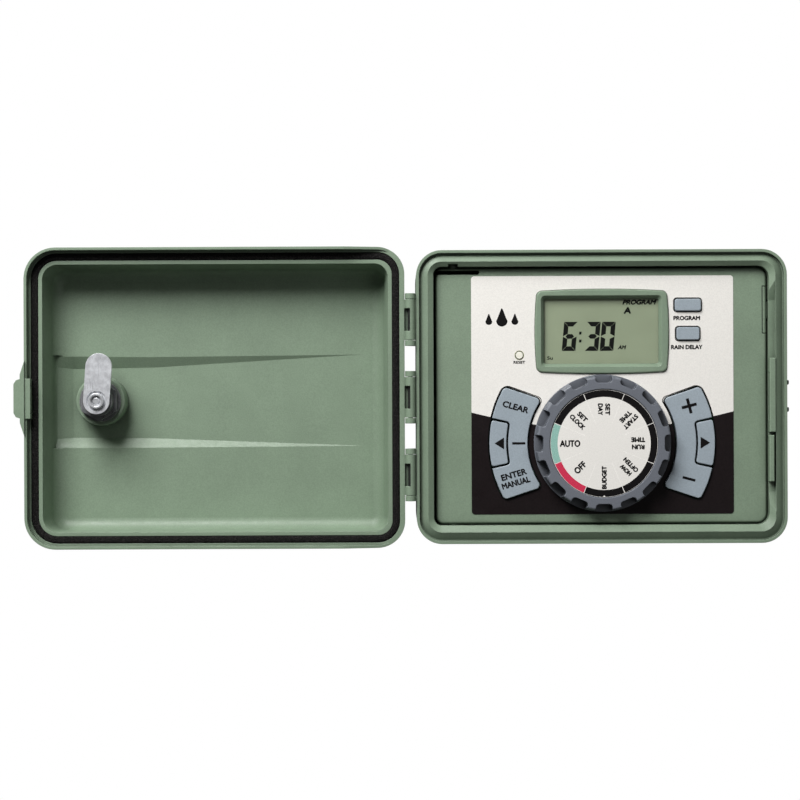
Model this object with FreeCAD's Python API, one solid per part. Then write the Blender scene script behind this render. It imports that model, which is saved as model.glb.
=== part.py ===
import FreeCAD, Part
import math
import os

# Wall-mounted irrigation controller. Millimetres. X right, Z up, +Y into the wall.
# The origin is the centre of the housing's back face, so the front faces -Y.
# The lid is drawn shut and then swung open by half a turn, which is its rest pose.

V = FreeCAD.Vector

# ---- driving sizes -------------------------------------------------------
HOUSE_W, HOUSE_H, HOUSE_DEPTH, HOUSE_R = 231.8, 183.8, 84.0, 16.0
WALL = 2.5
RIM = -HOUSE_DEPTH                      # parting plane between housing and lid
HALF_W, HALF_H = HOUSE_W / 2, HOUSE_H / 2
RUN = 0.05                              # radial running clearance of every pivot

# housing rim, as insets from the outside of the wall: an upright lip, a groove whose inner
# side climbs to a crest, and a band that slopes from the crest down to the mouth
LIP_W, GROOVE_FLOOR_W, GROOVE_DEPTH = 1.8, 0.7, 3.0
CREST_INSET, CREST_DROP, MOUTH_DROP = 7.2, 0.2, 2.4
MOUTH_X, MOUTH_Z, MOUTH_R, MOUTH_HINGE_R = 105.1, 81.1, 7.3, 5.0
MID_Z = 0.6                             # the mouth and the swing panel sit a little high
RING_FLOOR = RIM + 6.5
RING_BACK = RIM + 16.0
RING_WALL = 2.2

# lid hinge
HINGE_X = -119.7
HINGE_ZS = (-48.5, 0.0, 48.5)
PIN_R, PIN_CHAMFER, EAR_R, KNUCKLE_R = 1.5, 0.4, 3.3, 3.2
KNUCKLE_HALF, EAR_IN, EAR_OUT = 12.7, 12.95, 16.4

# lid, in its shut position
LID_X0, LID_X1, LID_HALF_H, LID_R, LID_HINGE_R = -116.2, 120.7, 94.0, 19.6, 17.0
SKIRT_T, CHANNEL_OUT, CHANNEL_IN, RIB_IN = 1.7, 3.2, 7.9, 10.1
FLOOR_IN_X, FLOOR_IN_Z, FLOOR_ROUND, FLOOR_LOW = 14.0, 11.6, 8.0, 1.2
TAB_PROUD, PULL_PROUD, PULL_T, CATCH_SUNK = 2.7, 6.6, 2.2, 1.0
LID_RIM = RIM - 0.3
CHANNEL_FLOOR = RIM - 4.1
FLANGE_BACK = RIM - 6.6
LID_FLOOR = RIM - 26.0
SKIRT = 6.0
BAND_RISE = 4.2

# cam lock, in the shut lid
LOCK_X, LOCK_Z = 76.1, -1.6
BARREL_R, PLUG_R = 9.5, 6.0
LOCK_SEAT = LID_FLOOR - 2.5 - BAND_RISE - 0.6
BOSS_TOP = RIM - 13.3
CAM_Y0, CAM_T, CAM_W, CAM_REACH, CAM_LEAN = RIM + 1.7, 2.0, 16.4, 29.8, 4.0
CAM_SINK, CAM_SINK_R, CAM_NUT_R, STUD_THREAD_R = 1.0, 6.2, 4.9, 2.4

# swing panel
PANEL_X0, PANEL_X1, PANEL_HALF_H = -103.5, 104.4, 80.3
PANEL_R, PANEL_HINGE_R, PANEL_ROUND = 6.0, 4.2, 1.5
PANEL_Y = RIM + 7.0
PLATE = 2.5
PLATE_BACK = PANEL_Y + PLATE
SKIRT_BACK = RIM + 17.0
PEG_X, PEG_Y, PEG_R, PEG_REACH = -92.7, RIM + 11.0, 2.5, 4.9
OVERLAY_T = 0.25

# dial and keys
DIAL_X, DIAL_Z, DIAL_R = 0.7, -29.2, 43.0
SCALLOPS, SCALLOP_W, SCALLOP_IN, SCALLOP_CORNER = 16, 10.6, 37.7, 2.2
KEY_FRONT = PANEL_Y - 1.9
KEY_FOOT = RIM + 13.5
ROCKER_IN, ROCKER_OUT = 46.9, 70.8
ROCKER_ANGLE_IN, ROCKER_ANGLE_OUT = 35.9, 29.9
ARROW_IN, ARROW_ANGLE = 60.2, 11.9
KEY_GAP, APERTURE_GAP, KEY_CORNER, NOTCH_CORNER = 1.1, 0.95, 2.6, 1.4
BUTTON_X, PROGRAM_Z, RAIN_Z = 54.8, 57.4, 39.4
PROGRAM_SIZE, RAIN_SIZE, BUTTON_GAP = (16.4, 7.5), (14.4, 7.9), 0.6
RESET_X, RESET_Z, RESET_R = -51.1, 26.1, 2.25

# display
SCREEN_X, SCREEN_Z, SCREEN_W, SCREEN_H = 0.5, 41.1, 72.0, 40.8
BEZEL_X, BEZEL_Z, BEZEL_W, BEZEL_H, BEZEL_PROUD, BEZEL_BULGE = 0.8, 40.9, 84.2, 53.3, 1.6, 1.3
WINDOW_BEVEL, BEZEL_CORNER = 2.0, 3.6

# module
BOARD_Y0, BOARD_T = RIM + 19.0, 1.6
BOARD_X, BOARD_Z = 78.0, 70.0
COVER_X, COVER_Z, COVER_BACK = 82.0, 74.0, RIM + 34.0
RIBBON_Z, RIBBON_HALF = 19.0, 10.0

parts = {}


# ---- shape helpers -------------------------------------------------------
def box(x0, x1, y0, y1, z0, z1):
    return Part.makeBox(x1 - x0, y1 - y0, z1 - z0, V(x0, y0, z0))


def cyl_x(y, z, r, x0, x1):
    return Part.makeCylinder(r, x1 - x0, V(x0, y, z), V(1, 0, 0))


def cyl_y(x, z, r, y0, y1):
    return Part.makeCylinder(r, y1 - y0, V(x, y0, z), V(0, 1, 0))


def cyl_z(x, y, r, z0, z1):
    return Part.makeCylinder(r, z1 - z0, V(x, y, z0), V(0, 0, 1))


def corner_arc(cx, cz, r, start, y):
    points = []
    for degrees in (start, start + 45, start + 90):
        a = math.radians(degrees)
        points.append(V(cx + r * math.cos(a), y, cz + r * math.sin(a)))
    return Part.Arc(*points).toShape()


def outline(x0, x1, z0, z1, r, y, r_left=None):
    """Rounded rectangle at depth y; r_left rounds the two corners at x0."""
    q = r if r_left is None else r_left
    edges = [
        Part.makeLine(V(x1, y, z0 + r), V(x1, y, z1 - r)),
        corner_arc(x1 - r, z1 - r, r, 0, y),
        Part.makeLine(V(x1 - r, y, z1), V(x0 + q, y, z1)),
        corner_arc(x0 + q, z1 - q, q, 90, y),
        Part.makeLine(V(x0, y, z1 - q), V(x0, y, z0 + q)),
        corner_arc(x0 + q, z0 + q, q, 180, y),
        Part.makeLine(V(x0 + q, y, z0), V(x1 - r, y, z0)),
        corner_arc(x1 - r, z0 + r, r, 270, y),
    ]
    return Part.Wire(edges)


def slab(x0, x1, z0, z1, r, y0, y1, r_left=None):
    face = Part.Face(outline(x0, x1, z0, z1, r, y0, r_left))
    return face.extrude(V(0, y1 - y0, 0))


def centred_slab(x, z, w, h, r, y0, y1):
    return slab(x - w / 2, x + w / 2, z - h / 2, z + h / 2, r, y0, y1)


def house_outline(inset, y):
    x, z = HALF_W - inset, HALF_H - inset
    return outline(-x, x, -z, z, HOUSE_R - inset, y)


def house_slab(inset, y0, y1):
    return Part.Face(house_outline(inset, y0)).extrude(V(0, y1 - y0, 0))


def lid_outline(inset, y, inset_z=None):
    """Lid outline at depth y, drawn in by inset; inset_z is used above and below if given."""
    r = max(LID_R - inset, 9.0)
    r_left = max(LID_HINGE_R - inset, 8.6)
    z = LID_HALF_H - (inset if inset_z is None else inset_z)
    return outline(LID_X0 + inset, LID_X1 - inset, -z, z, r, y, r_left)


def lid_slab(inset, y0, y1):
    return Part.Face(lid_outline(inset, y0)).extrude(V(0, y1 - y0, 0))


def prism(points, direction):
    """Straight-sided solid from a list of corner points swept along a direction."""
    closed = Part.makePolygon(points + [points[0]])
    return Part.Face(closed).extrude(direction)


def union(shapes):
    first = shapes[0]
    return first.multiFuse(shapes[1:]).removeSplitter() if len(shapes) > 1 else first


def group(solids):
    return Part.makeCompound(solids)


def round_edges(shape, radius, wanted):
    edges = [e for e in shape.Edges if wanted(e)]
    return shape.makeFillet(radius, edges)


def lies_at_y(edge, y):
    b = edge.BoundBox
    return abs(b.YMin - y) < 0.01 and abs(b.YMax - y) < 0.01


def opened(shape):
    """Swing a shape drawn on the shut lid to the open, rest position."""
    turned = shape.copy()
    turned.rotate(V(HINGE_X, RIM, 0), V(0, 0, 1), 180)
    return turned


def polar(side, r, degrees, y):
    """Point around the dial's centre, measured up from the horizontal on one side."""
    a = math.radians(degrees)
    return V(DIAL_X + side * r * math.cos(a), y, DIAL_Z + r * math.sin(a))


def key_sector(side, r0, a0, r1, a1, y0, y1):
    """Curved key outline: two arcs about the dial and two straight ends."""
    inner = Part.Arc(polar(side, r0, -a0, y0), polar(side, r0, 0, y0), polar(side, r0, a0, y0))
    outer = Part.Arc(polar(side, r1, -a1, y0), polar(side, r1, 0, y0), polar(side, r1, a1, y0))
    ends = [
        Part.makeLine(polar(side, r0, a0, y0), polar(side, r1, a1, y0)),
        Part.makeLine(polar(side, r0, -a0, y0), polar(side, r1, -a1, y0)),
    ]
    wire = Part.Wire(Part.__sortEdges__([inner.toShape(), outer.toShape()] + ends))
    return Part.Face(wire).extrude(V(0, y1 - y0, 0))


def round_uprights(shape, radius, wanted=lambda e: True):
    """Round the straight edges that run along Y."""
    def upright(e):
        b = e.BoundBox
        return b.XLength < 0.01 and b.ZLength < 0.01 and wanted(e)
    return round_edges(shape, radius, upright)


def rocker_sector(side, grow, y0, y1):
    a_in = ROCKER_ANGLE_IN + math.degrees(grow / ROCKER_IN)
    a_out = ROCKER_ANGLE_OUT + math.degrees(grow / ROCKER_OUT)
    sector = key_sector(side, ROCKER_IN - grow, a_in, ROCKER_OUT + grow, a_out, y0, y1)
    return round_uprights(sector, KEY_CORNER + grow)


def arrow_sector(side, grow, y0, y1):
    a = ARROW_ANGLE + math.degrees(grow / ARROW_IN)
    return key_sector(side, ARROW_IN - grow, a, ROCKER_OUT + grow, a, y0, y1)


def near_arrow_inside(edge):
    """True for the two upright edges on the arrow key's inner arc."""
    c = edge.CenterOfMass
    return math.hypot(c.x - DIAL_X, c.z - DIAL_Z) < ARROW_IN + 0.5


# ---- housing -------------------------------------------------------------
LOCK_STRIKE_Z, STRIKE_X = (-22.6, 23.8), (105.0, 108.8)
HOOK_Z, HOOK_X = (-53.6, -24.5), (104.75, 107.8)
LEDGE_X, LEDGE_Z, LEDGE_DROP = 109.0, 76.0, 4.6
BUMP_X, BUMP_R, BUMP_Z = MOUTH_X - 1.3, 1.7, (49.0, 59.0)
STUD_R, STUD_Y, STUD_PROUD, STUD_ZS = 1.5, RIM + 4.5, 1.7, (-8.5, 8.5)
SCREW_SPACING, WALL_SCREW_R, KEYHOLE_Z = 150.0, 2.5, 62.0
CONDUIT_X, CONDUIT_R, WIRE_X, WIRE_R, ENTRY_Y = 75.0, 11.1, -55.0, 14.0, -42.0
TRAFO_X, TRAFO_Z, TRAFO_FOOT_Y = 55.0, -45.0, -8.0
TRAFO_SCREW_XS = (TRAFO_X - 38, TRAFO_X + 38)
TERM_X, TERM_Z, TERM_BOARD_Y1 = -45.0, 15.0, -12.0
TERM_SCREW_XS = (TERM_X - 46, TERM_X + 46)
SCREW_R, SCREW_HOLE_R = 1.75, 1.8


def hinge_ear(z0, z1):
    disc = cyl_z(HINGE_X, RIM, EAR_R, z0, z1)
    wall_x = -HALF_W + 0.6
    gusset = prism(
        [V(HINGE_X - 2.6, RIM + 1.5, z0), V(HINGE_X, RIM, z0), V(wall_x, RIM, z0), V(wall_x, RIM + 9, z0)],
        V(0, 0, z1 - z0),
    )
    return disc.fuse(gusset)


def hinge_ears():
    ears = []
    for z in HINGE_ZS:
        ears.append(hinge_ear(z + EAR_IN, z + EAR_OUT))
        ears.append(hinge_ear(z - EAR_OUT, z - EAR_IN))
    return ears


def mouth_outline(grow, y):
    x, z = MOUTH_X + grow, MOUTH_Z + grow
    return outline(-x, x, MID_Z - z, MID_Z + z, MOUTH_R + grow, y, MOUTH_HINGE_R + grow)


def mouth_slab(grow, y0, y1):
    return Part.Face(mouth_outline(grow, y0)).extrude(V(0, y1 - y0, 0))


def rim_groove():
    """Groove inside the lip; its inner side slopes up to the crest."""
    floor_y = RIM + GROOVE_DEPTH
    foot, crest = house_outline(LIP_W + GROOVE_FLOOR_W, floor_y), house_outline(CREST_INSET, RIM + CREST_DROP)
    inside = house_slab(LIP_W, RIM - 1, floor_y)
    return inside.cut(Part.makeLoft([foot, crest], True, True))


def mouth_slope():
    """Band that slopes from the crest down to the edge of the mouth."""
    crest, edge = house_outline(CREST_INSET, RIM + CREST_DROP), mouth_outline(0, RIM + MOUTH_DROP)
    return Part.makeLoft([crest, edge], True, True)


def peg_socket_blocks():
    blocks = []
    for side in (-1, 1):
        z0, z1 = sorted((MID_Z + side * MOUTH_Z, side * (HALF_H - WALL + 0.1)))
        blocks.append(box(PEG_X - 5, PEG_X + 5, RING_FLOOR - 1, RING_BACK, z0, z1))
    return blocks


def mounting_bosses():
    bosses = []
    for x, z, r, top in transformer_boss_places() + board_boss_places():
        bosses.append(cyl_y(x, z, r, top, -WALL))
    return bosses


def transformer_boss_places():
    return [(x, TRAFO_Z, 4.5, TRAFO_FOOT_Y) for x in TRAFO_SCREW_XS]


def board_boss_places():
    return [(x, TERM_Z, 4.0, TERM_BOARD_Y1) for x in TERM_SCREW_XS]


def rear_housing():
    outer = house_slab(0, RIM, 0)
    outer = round_edges(outer, 5, lambda e: lies_at_y(e, 0))
    cavity = house_slab(WALL, RING_FLOOR, -WALL)
    shell = outer.cut(cavity)
    ring = mouth_slab(RING_WALL, RING_FLOOR - 1, RING_BACK)
    solid = union([shell, ring, groove_rib()] + peg_socket_blocks() + hinge_ears() + mounting_bosses())
    solid = solid.fuse(cyl_y(0, KEYHOLE_Z, 9, -6, -1))
    cuts = [
        mouth_slab(0, RIM - 1, RING_BACK + 1),
        deep_ledge(),
        mouth_slope(),
        rim_groove(),
    ]
    for side in (-1, 1):
        z0, z1 = sorted((MID_Z + side * (MOUTH_Z - 1), MID_Z + side * (MOUTH_Z + PEG_REACH + 0.5)))
        cuts.append(cyl_z(PEG_X, PEG_Y, PEG_R + RUN, z0, z1))
    lead_z = MID_Z + MOUTH_Z
    cuts.append(box(PEG_X - 3.1, PEG_X + 3.1, RIM + 1, PEG_Y, lead_z - 1, lead_z + 1.7))
    for z in HINGE_ZS:
        cuts.append(cyl_z(HINGE_X, RIM, PIN_R + RUN, z - EAR_OUT - 1, z + EAR_OUT + 1))
    for z in STUD_ZS:
        cuts.append(cyl_x(STUD_Y, z, STUD_R + 0.02, HALF_W - 2, HALF_W + 1))
    for x in (-SCREW_SPACING / 2, SCREW_SPACING / 2):
        cuts.append(cyl_y(x, -68, WALL_SCREW_R, -WALL - 1, 1))
    for x in TRAFO_SCREW_XS:
        cuts.append(cyl_y(x, TRAFO_Z, SCREW_HOLE_R, TRAFO_FOOT_Y - 1, -1))
    for x in TERM_SCREW_XS:
        cuts.append(cyl_y(x, TERM_Z, SCREW_HOLE_R, TERM_BOARD_Y1 - 1, -1))
    cuts.append(cyl_y(0, KEYHOLE_Z, 5, -WALL - 4, 1))
    cuts.append(box(-2.5, 2.5, -WALL - 4, 1, KEYHOLE_Z, KEYHOLE_Z + 8))
    cuts.append(cyl_z(CONDUIT_X, ENTRY_Y, CONDUIT_R, -HALF_H - 1, -HALF_H + 5))
    cuts.append(cyl_z(WIRE_X, ENTRY_Y, WIRE_R, -HALF_H - 1, -HALF_H + 5))
    cuts.append(cyl_z(BUMP_X, PLATE_BACK, BUMP_R + 0.7, BUMP_Z[0] - 2, BUMP_Z[1] + 2))
    for cutter in cuts:
        solid = solid.cut(cutter)
    return solid.fuse(lock_strike()).fuse(snap_hook()).cut(strike_pocket()).removeSplitter()


def deep_ledge():
    """The band round the mouth drops further on the latch side, with a slope at each end."""
    x0, x1 = MOUTH_X - 1, LEDGE_X
    front, deep = RIM - 1, RIM + LEDGE_DROP
    z_flat, z_end = LEDGE_Z - 16, LEDGE_Z
    corners = [V(x0, front, -z_end), V(x0, deep, -z_flat), V(x0, deep, z_flat), V(x0, front, z_end)]
    return prism(corners, V(x1 - x0, 0, 0))


def groove_rib():
    """Thicker piece of the ring's wall behind the groove that the panel's bump snaps into."""
    x0 = MOUTH_X + RING_WALL - 0.1
    return box(x0, x0 + 2, RING_FLOOR - 1, RING_BACK, BUMP_Z[0] - 3, BUMP_Z[1] + 3)


def rounded_bar(x0, x1, y_top, z0, z1):
    """Bar standing on the ledge, its front edges rounded."""
    bar = box(x0, x1, y_top, RIM + LEDGE_DROP + 0.5, z0, z1)
    return round_edges(bar, 0.6, lambda e: lies_at_y(e, y_top))


def lock_strike():
    (x0, x1), (z0, z1) = STRIKE_X, LOCK_STRIKE_Z
    return rounded_bar(x0, x1, RIM - 0.5, z0, z1)


def strike_pocket():
    """Opening behind the strike that takes the lock's cam."""
    return box(MOUTH_X - 1, STRIKE_X[1] + 1.2, RIM + 1.3, RIM + 5, -15, 15)


def snap_hook():
    (x0, x1), (z0, z1) = HOOK_X, HOOK_Z
    return rounded_bar(x0, x1, RIM - 0.3, z0, z1)


def latch_studs():
    studs = []
    for z in STUD_ZS:
        stud = cyl_x(STUD_Y, z, STUD_R, HALF_W - 1.95, HALF_W + STUD_PROUD)
        studs.append(round_edges(stud, 0.5, lambda e: abs(e.BoundBox.XMin - HALF_W - STUD_PROUD) < 0.01))
    return group(studs)


def hinge_pins():
    """Steel pins, both ends chamfered to start them into the ears."""
    pins = []
    for z in HINGE_ZS:
        pin = cyl_z(HINGE_X, RIM, PIN_R, z - EAR_OUT, z + EAR_OUT)
        end_edges = [e for e in pin.Edges if len(e.Vertexes) == 1]
        pins.append(pin.makeChamfer(PIN_CHAMFER, end_edges))
    return group(pins)


# ---- lid (drawn shut) ----------------------------------------------------
# (x, share of full rise, top outer z, top inner z, bottom inner z, bottom outer z) of the
# raised band: it fades in beside the latch wall and dies away towards the hinge
BAND_SECTIONS = (
    (110.0, 0.0, 27.6, 20.5, -26.0, -31.6),
    (96.0, 1.0, 27.4, 18.9, -25.2, -31.9),
    (45.0, 0.75, 26.9, 19.6, -25.6, -32.1),
    (-88.0, 0.0, 28.0, 27.4, -30.7, -31.4),
)


def band_wedge(floor_y):
    """Tapering band that sinks below floor_y, deepest at the latch side."""
    wires = []
    for x, share, top_out, top_in, low_in, low_out in BAND_SECTIONS:
        depth = BAND_RISE * share + 0.02
        corners = [
            V(x, floor_y + FLOOR_ROUND, top_out), V(x, floor_y + 0.3, top_out),
            V(x, floor_y - depth, top_in), V(x, floor_y - depth, low_in),
            V(x, floor_y + 0.3, low_out), V(x, floor_y + FLOOR_ROUND, low_out),
        ]
        wires.append(Part.makePolygon(corners + [corners[0]]))
    return Part.makeLoft(wires, True, True)


def drafted(inset0, y0, shell, y1):
    """Block from one lid outline to the recess floor's outline grown by a shell thickness."""
    floor = lid_outline(FLOOR_IN_X - shell, y1, FLOOR_IN_Z - shell)
    floor.translate(V(0, 0, -FLOOR_LOW))
    block = Part.makeLoft([lid_outline(inset0, y0), floor], True, True)
    return round_edges(block, FLOOR_ROUND + shell - 0.5, lambda e: lies_at_y(e, y1))


def lid_body():
    flange = lid_slab(0, FLANGE_BACK, LID_RIM)
    flange = round_edges(flange, 1.5, lambda e: lies_at_y(e, FLANGE_BACK))
    crown_y = LID_FLOOR - WALL
    dome = drafted(6.6, FLANGE_BACK + 0.5, WALL, crown_y)
    deep_dome = drafted(6.6, FLANGE_BACK + 0.5, WALL - 0.5, crown_y - BAND_RISE)
    raised = deep_dome.common(band_wedge(crown_y))
    return flange.fuse(dome).fuse(raised)


def lid_hollow():
    hollow = drafted(RIB_IN, LID_RIM + 1, 0, LID_FLOOR)
    deep = drafted(RIB_IN, LID_RIM + 1, -0.5, LID_FLOOR - BAND_RISE)
    return hollow.fuse(deep.common(band_wedge(LID_FLOOR)))


def lid_skirt():
    skirt = lid_slab(0, LID_RIM - 0.2, RIM + SKIRT).cut(lid_slab(SKIRT_T, LID_RIM - 1, RIM + SKIRT + 1))
    z = -LID_HALF_H - 1
    # the skirt slopes away to nothing towards the hinge side
    x_end, x_start, x_full = LID_X0 - 1, LID_X0 + 10, LID_X0 + 42
    top = RIM + SKIRT + 1
    slope = [V(x_end, LID_RIM, z), V(x_start, LID_RIM, z), V(x_full, top, z), V(x_end, top, z)]
    return skirt.cut(prism(slope, V(0, 0, -2 * z)))


def latch_tab():
    """Tab with its finger pull and the catch block, pocketed for the housing's two studs."""
    x0 = LID_X1 - 0.5
    y0, y1 = FLANGE_BACK + 1, RIM + 8
    plan = [V(x0, y0, -23.3), V(x0 + TAB_PROUD, y0, -15), V(x0 + TAB_PROUD, y0, 15), V(x0, y0, 23.3)]
    tab = prism(plan, V(0, y1 - y0, 0))
    z_wide, z_tip = 12.5, 9.0
    pull_x, pull_y = x0 + PULL_PROUD, y1 - PULL_T
    pull = [V(x0 + 2, pull_y, -z_wide), V(pull_x - 1.5, pull_y, -z_wide + 1), V(pull_x, pull_y, -z_tip),
            V(pull_x, pull_y, z_tip), V(pull_x - 1.5, pull_y, z_wide - 1), V(x0 + 2, pull_y, z_wide)]
    catch = box(HALF_W + 0.7, x0 + 1, RIM + 1, y1 - CATCH_SUNK, -z_wide, z_wide)
    for z in STUD_ZS:
        catch = catch.cut(cyl_x(STUD_Y, z, STUD_R + 0.4, HALF_W, HALF_W + STUD_PROUD + 0.6))
    return [tab, prism(pull, V(0, PULL_T, 0)), catch]


def lid_knuckle(z):
    """Barrel and strap of one hinge, drawn shut: the strap lies on the lid side of the rim."""
    z0, z1 = z - KNUCKLE_HALF, z + KNUCKLE_HALF
    barrel = cyl_z(HINGE_X, RIM, KNUCKLE_R, z0, z1)
    strap = box(HINGE_X, LID_X0 + 2.0, RIM - 3.2, RIM - 0.3, z0, z1)
    return barrel.fuse(strap)


def knuckle_slot(z):
    """Relief window in the barrel, open towards the wall side when the lid is shut."""
    return box(HINGE_X, HINGE_X + 3.6, RIM - 2.4, RIM + 4, z - 7.1, z + 7.1)


def lid_shell():
    boss = cyl_y(LOCK_X, LOCK_Z, 15.5, LOCK_SEAT + 1, BOSS_TOP)
    boss = round_edges(boss, 1.0, lambda e: lies_at_y(e, BOSS_TOP))
    seat = cyl_y(LOCK_X, LOCK_Z, 14.0, LOCK_SEAT, LID_FLOOR - 3)
    body = lid_body().cut(lid_hollow())
    body = union([body, lid_skirt(), boss, seat] + latch_tab() + [lid_knuckle(z) for z in HINGE_ZS])
    channel = lid_slab(CHANNEL_OUT, CHANNEL_FLOOR, LID_RIM + 1)
    channel = channel.cut(lid_slab(CHANNEL_IN, CHANNEL_FLOOR - 1, RIM + 2))
    rib_top = lid_slab(CHANNEL_IN - 0.2, RIM - 0.7, LID_RIM + 0.5)
    cuts = [channel, rib_top, cyl_y(LOCK_X, LOCK_Z, BARREL_R + 0.05, LOCK_SEAT - 1, BOSS_TOP + 1)]
    for z in HINGE_ZS:
        cuts.append(cyl_z(HINGE_X, RIM, PIN_R + RUN, z - 20, z + 20))
        cuts.append(knuckle_slot(z))
    for cutter in cuts:
        body = body.cut(cutter)
    return opened(body)


def lid_gasket():
    gap = 0.05
    strip = lid_slab(CHANNEL_OUT + gap, CHANNEL_FLOOR + gap, RIM - 0.1)
    return opened(strip.cut(lid_slab(CHANNEL_IN - gap, CHANNEL_FLOOR - 1, RIM + 1)))


# ---- cam lock (drawn shut) -----------------------------------------------
def lock_barrel():
    rear = CAM_Y0 - 0.5
    barrel = cyl_y(LOCK_X, LOCK_Z, BARREL_R, LOCK_SEAT - 0.5, rear)
    face = cyl_y(LOCK_X, LOCK_Z, 11.5, LOCK_SEAT - 2.4, LOCK_SEAT - 0.01)
    face = round_edges(face, 1.0, lambda e: lies_at_y(e, LOCK_SEAT - 2.4))
    body = barrel.fuse(face)
    return opened(body.cut(cyl_y(LOCK_X, LOCK_Z, PLUG_R + RUN, LOCK_SEAT - 5, rear + 1)))


def lock_plug():
    front = LOCK_SEAT - 2.2
    plug = cyl_y(LOCK_X, LOCK_Z, PLUG_R, front, CAM_Y0 - 0.02)
    tang_y = CAM_Y0 + CAM_T - CAM_SINK - 0.1
    tang = box(LOCK_X - 3.5, LOCK_X + 3.5, CAM_Y0 - 0.5, tang_y, LOCK_Z - 3.5, LOCK_Z + 3.5)
    stud_end = CAM_Y0 + CAM_T + 0.8
    stud = cyl_y(LOCK_X, LOCK_Z, STUD_THREAD_R, CAM_Y0, stud_end)
    stud = round_edges(stud, 0.8, lambda e: lies_at_y(e, stud_end))
    keyway = box(LOCK_X - 0.9, LOCK_X + 0.9, front - 1, front + 9, LOCK_Z - 3.6, LOCK_Z + 3.6)
    return opened(union([plug, tang, stud]).cut(keyway))


def hexagon(x, z, across_flats, y0, y1):
    r = across_flats / math.sqrt(3)
    corners = []
    for i in range(6):
        a = math.radians(60 * i + 30)
        corners.append(V(x + r * math.cos(a), y0, z + r * math.sin(a)))
    return prism(corners, V(0, y1 - y0, 0))


def lock_nut():
    nut = hexagon(LOCK_X, LOCK_Z, 22.0, BOSS_TOP + 1.05, BOSS_TOP + 6.0)
    return opened(nut.cut(cyl_y(LOCK_X, LOCK_Z, BARREL_R + 0.03, BOSS_TOP, BOSS_TOP + 7)))


def lock_washer():
    ring = cyl_y(LOCK_X, LOCK_Z, 13.0, BOSS_TOP + 0.01, BOSS_TOP + 1.0)
    return opened(ring.cut(cyl_y(LOCK_X, LOCK_Z, BARREL_R + 0.1, BOSS_TOP - 1, BOSS_TOP + 2)))


def lock_cam():
    r = CAM_W / 2
    tip = CAM_REACH - r
    blade = cyl_y(LOCK_X, LOCK_Z, r, CAM_Y0, CAM_Y0 + CAM_T)
    blade = blade.fuse(cyl_y(LOCK_X, LOCK_Z + tip, r, CAM_Y0, CAM_Y0 + CAM_T))
    blade = blade.fuse(box(LOCK_X - r, LOCK_X + r, CAM_Y0, CAM_Y0 + CAM_T, LOCK_Z, LOCK_Z + tip))
    blade = blade.removeSplitter()
    # the unlocked blade leans a little; its square hole stays square to the plug's tang
    blade.rotate(V(LOCK_X, 0, LOCK_Z), V(0, 1, 0), -CAM_LEAN)
    hole = box(LOCK_X - 3.53, LOCK_X + 3.53, CAM_Y0 - 1, CAM_Y0 + 5, LOCK_Z - 3.53, LOCK_Z + 3.53)
    sink = cyl_y(LOCK_X, LOCK_Z, CAM_SINK_R, CAM_Y0 + CAM_T - CAM_SINK, CAM_Y0 + CAM_T + 1)
    return opened(blade.cut(hole).cut(sink))


def cam_nut():
    """Round nut in the cam's counterbore, hollowed at its free end."""
    y0, y1 = CAM_Y0 + CAM_T - CAM_SINK + 0.02, CAM_Y0 + CAM_T + 2.0
    nut = cyl_y(LOCK_X, LOCK_Z, CAM_NUT_R, y0, y1)
    nut = nut.cut(cyl_y(LOCK_X, LOCK_Z, CAM_NUT_R - 1.7, y1 - 1.6, y1 + 1))
    nut = round_edges(nut, 0.5, lambda e: lies_at_y(e, y1))
    return opened(nut.cut(cyl_y(LOCK_X, LOCK_Z, STUD_THREAD_R + 0.02, y0 - 1, y1)))


# ---- swing panel ---------------------------------------------------------
SLOT_END_X = -77.4
SLOT_Z = (76.8, 79.5)
TONGUE_X, TONGUE_Z, TONGUE_GAP = 101.5, (39.4, 69.0), 0.5
BOARD_SCREWS = ((-72, 64), (72, 64), (-72, -64), (72, -64))
COVER_SCREWS = ((-87, 50), (87, 50), (-87, -50), (87, -50))
SKIRT_WALL, POST_R, COVER_POST_R, PILOT_R = 2.0, 3.5, 3.2, 1.3
HUB_R, SHAFT_Y, SHAFT_R = 6.5, RIM + 12.6, 1.2


def bezel_block(grow, y0, y1):
    w, h = BEZEL_W / 2 + grow, BEZEL_H / 2 + grow
    b = BEZEL_BULGE
    corner = [V(w - b, y0, h - b), V(b - w, y0, h - b), V(b - w, y0, b - h), V(w - b, y0, b - h)]
    middle = [V(0, y0, h), V(-w, y0, 0), V(0, y0, -h), V(w, y0, 0)]
    sides = []
    for i in range(4):
        sides.append(Part.Arc(corner[i], middle[i], corner[(i + 1) % 4]).toShape())
    block = Part.Face(Part.Wire(sides)).extrude(V(0, y1 - y0, 0))
    block.translate(V(BEZEL_X, 0, BEZEL_Z))
    return round_uprights(block, BEZEL_CORNER + grow)


def button_slab(z, size, grow, y0, y1):
    w, h = size[0] + 2 * grow, size[1] + 2 * grow
    return centred_slab(BUTTON_X, z, w, h, 1.4 + grow, y0, y1)


def window_bevel():
    """Sloped reveal from the bezel's face down to the display window."""
    front, back = PANEL_Y - BEZEL_PROUD - 0.01, PANEL_Y + 1
    w, h = SCREEN_W / 2, SCREEN_H / 2
    grow = WINDOW_BEVEL
    x0, x1, z0, z1 = SCREEN_X - w, SCREEN_X + w, SCREEN_Z - h, SCREEN_Z + h
    outer = outline(x0 - grow, x1 + grow, z0 - grow, z1 + grow, 2.5, front)
    inner = outline(x0, x1, z0, z1, 1.5, back)
    return Part.makeLoft([outer, inner], True, True)


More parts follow.
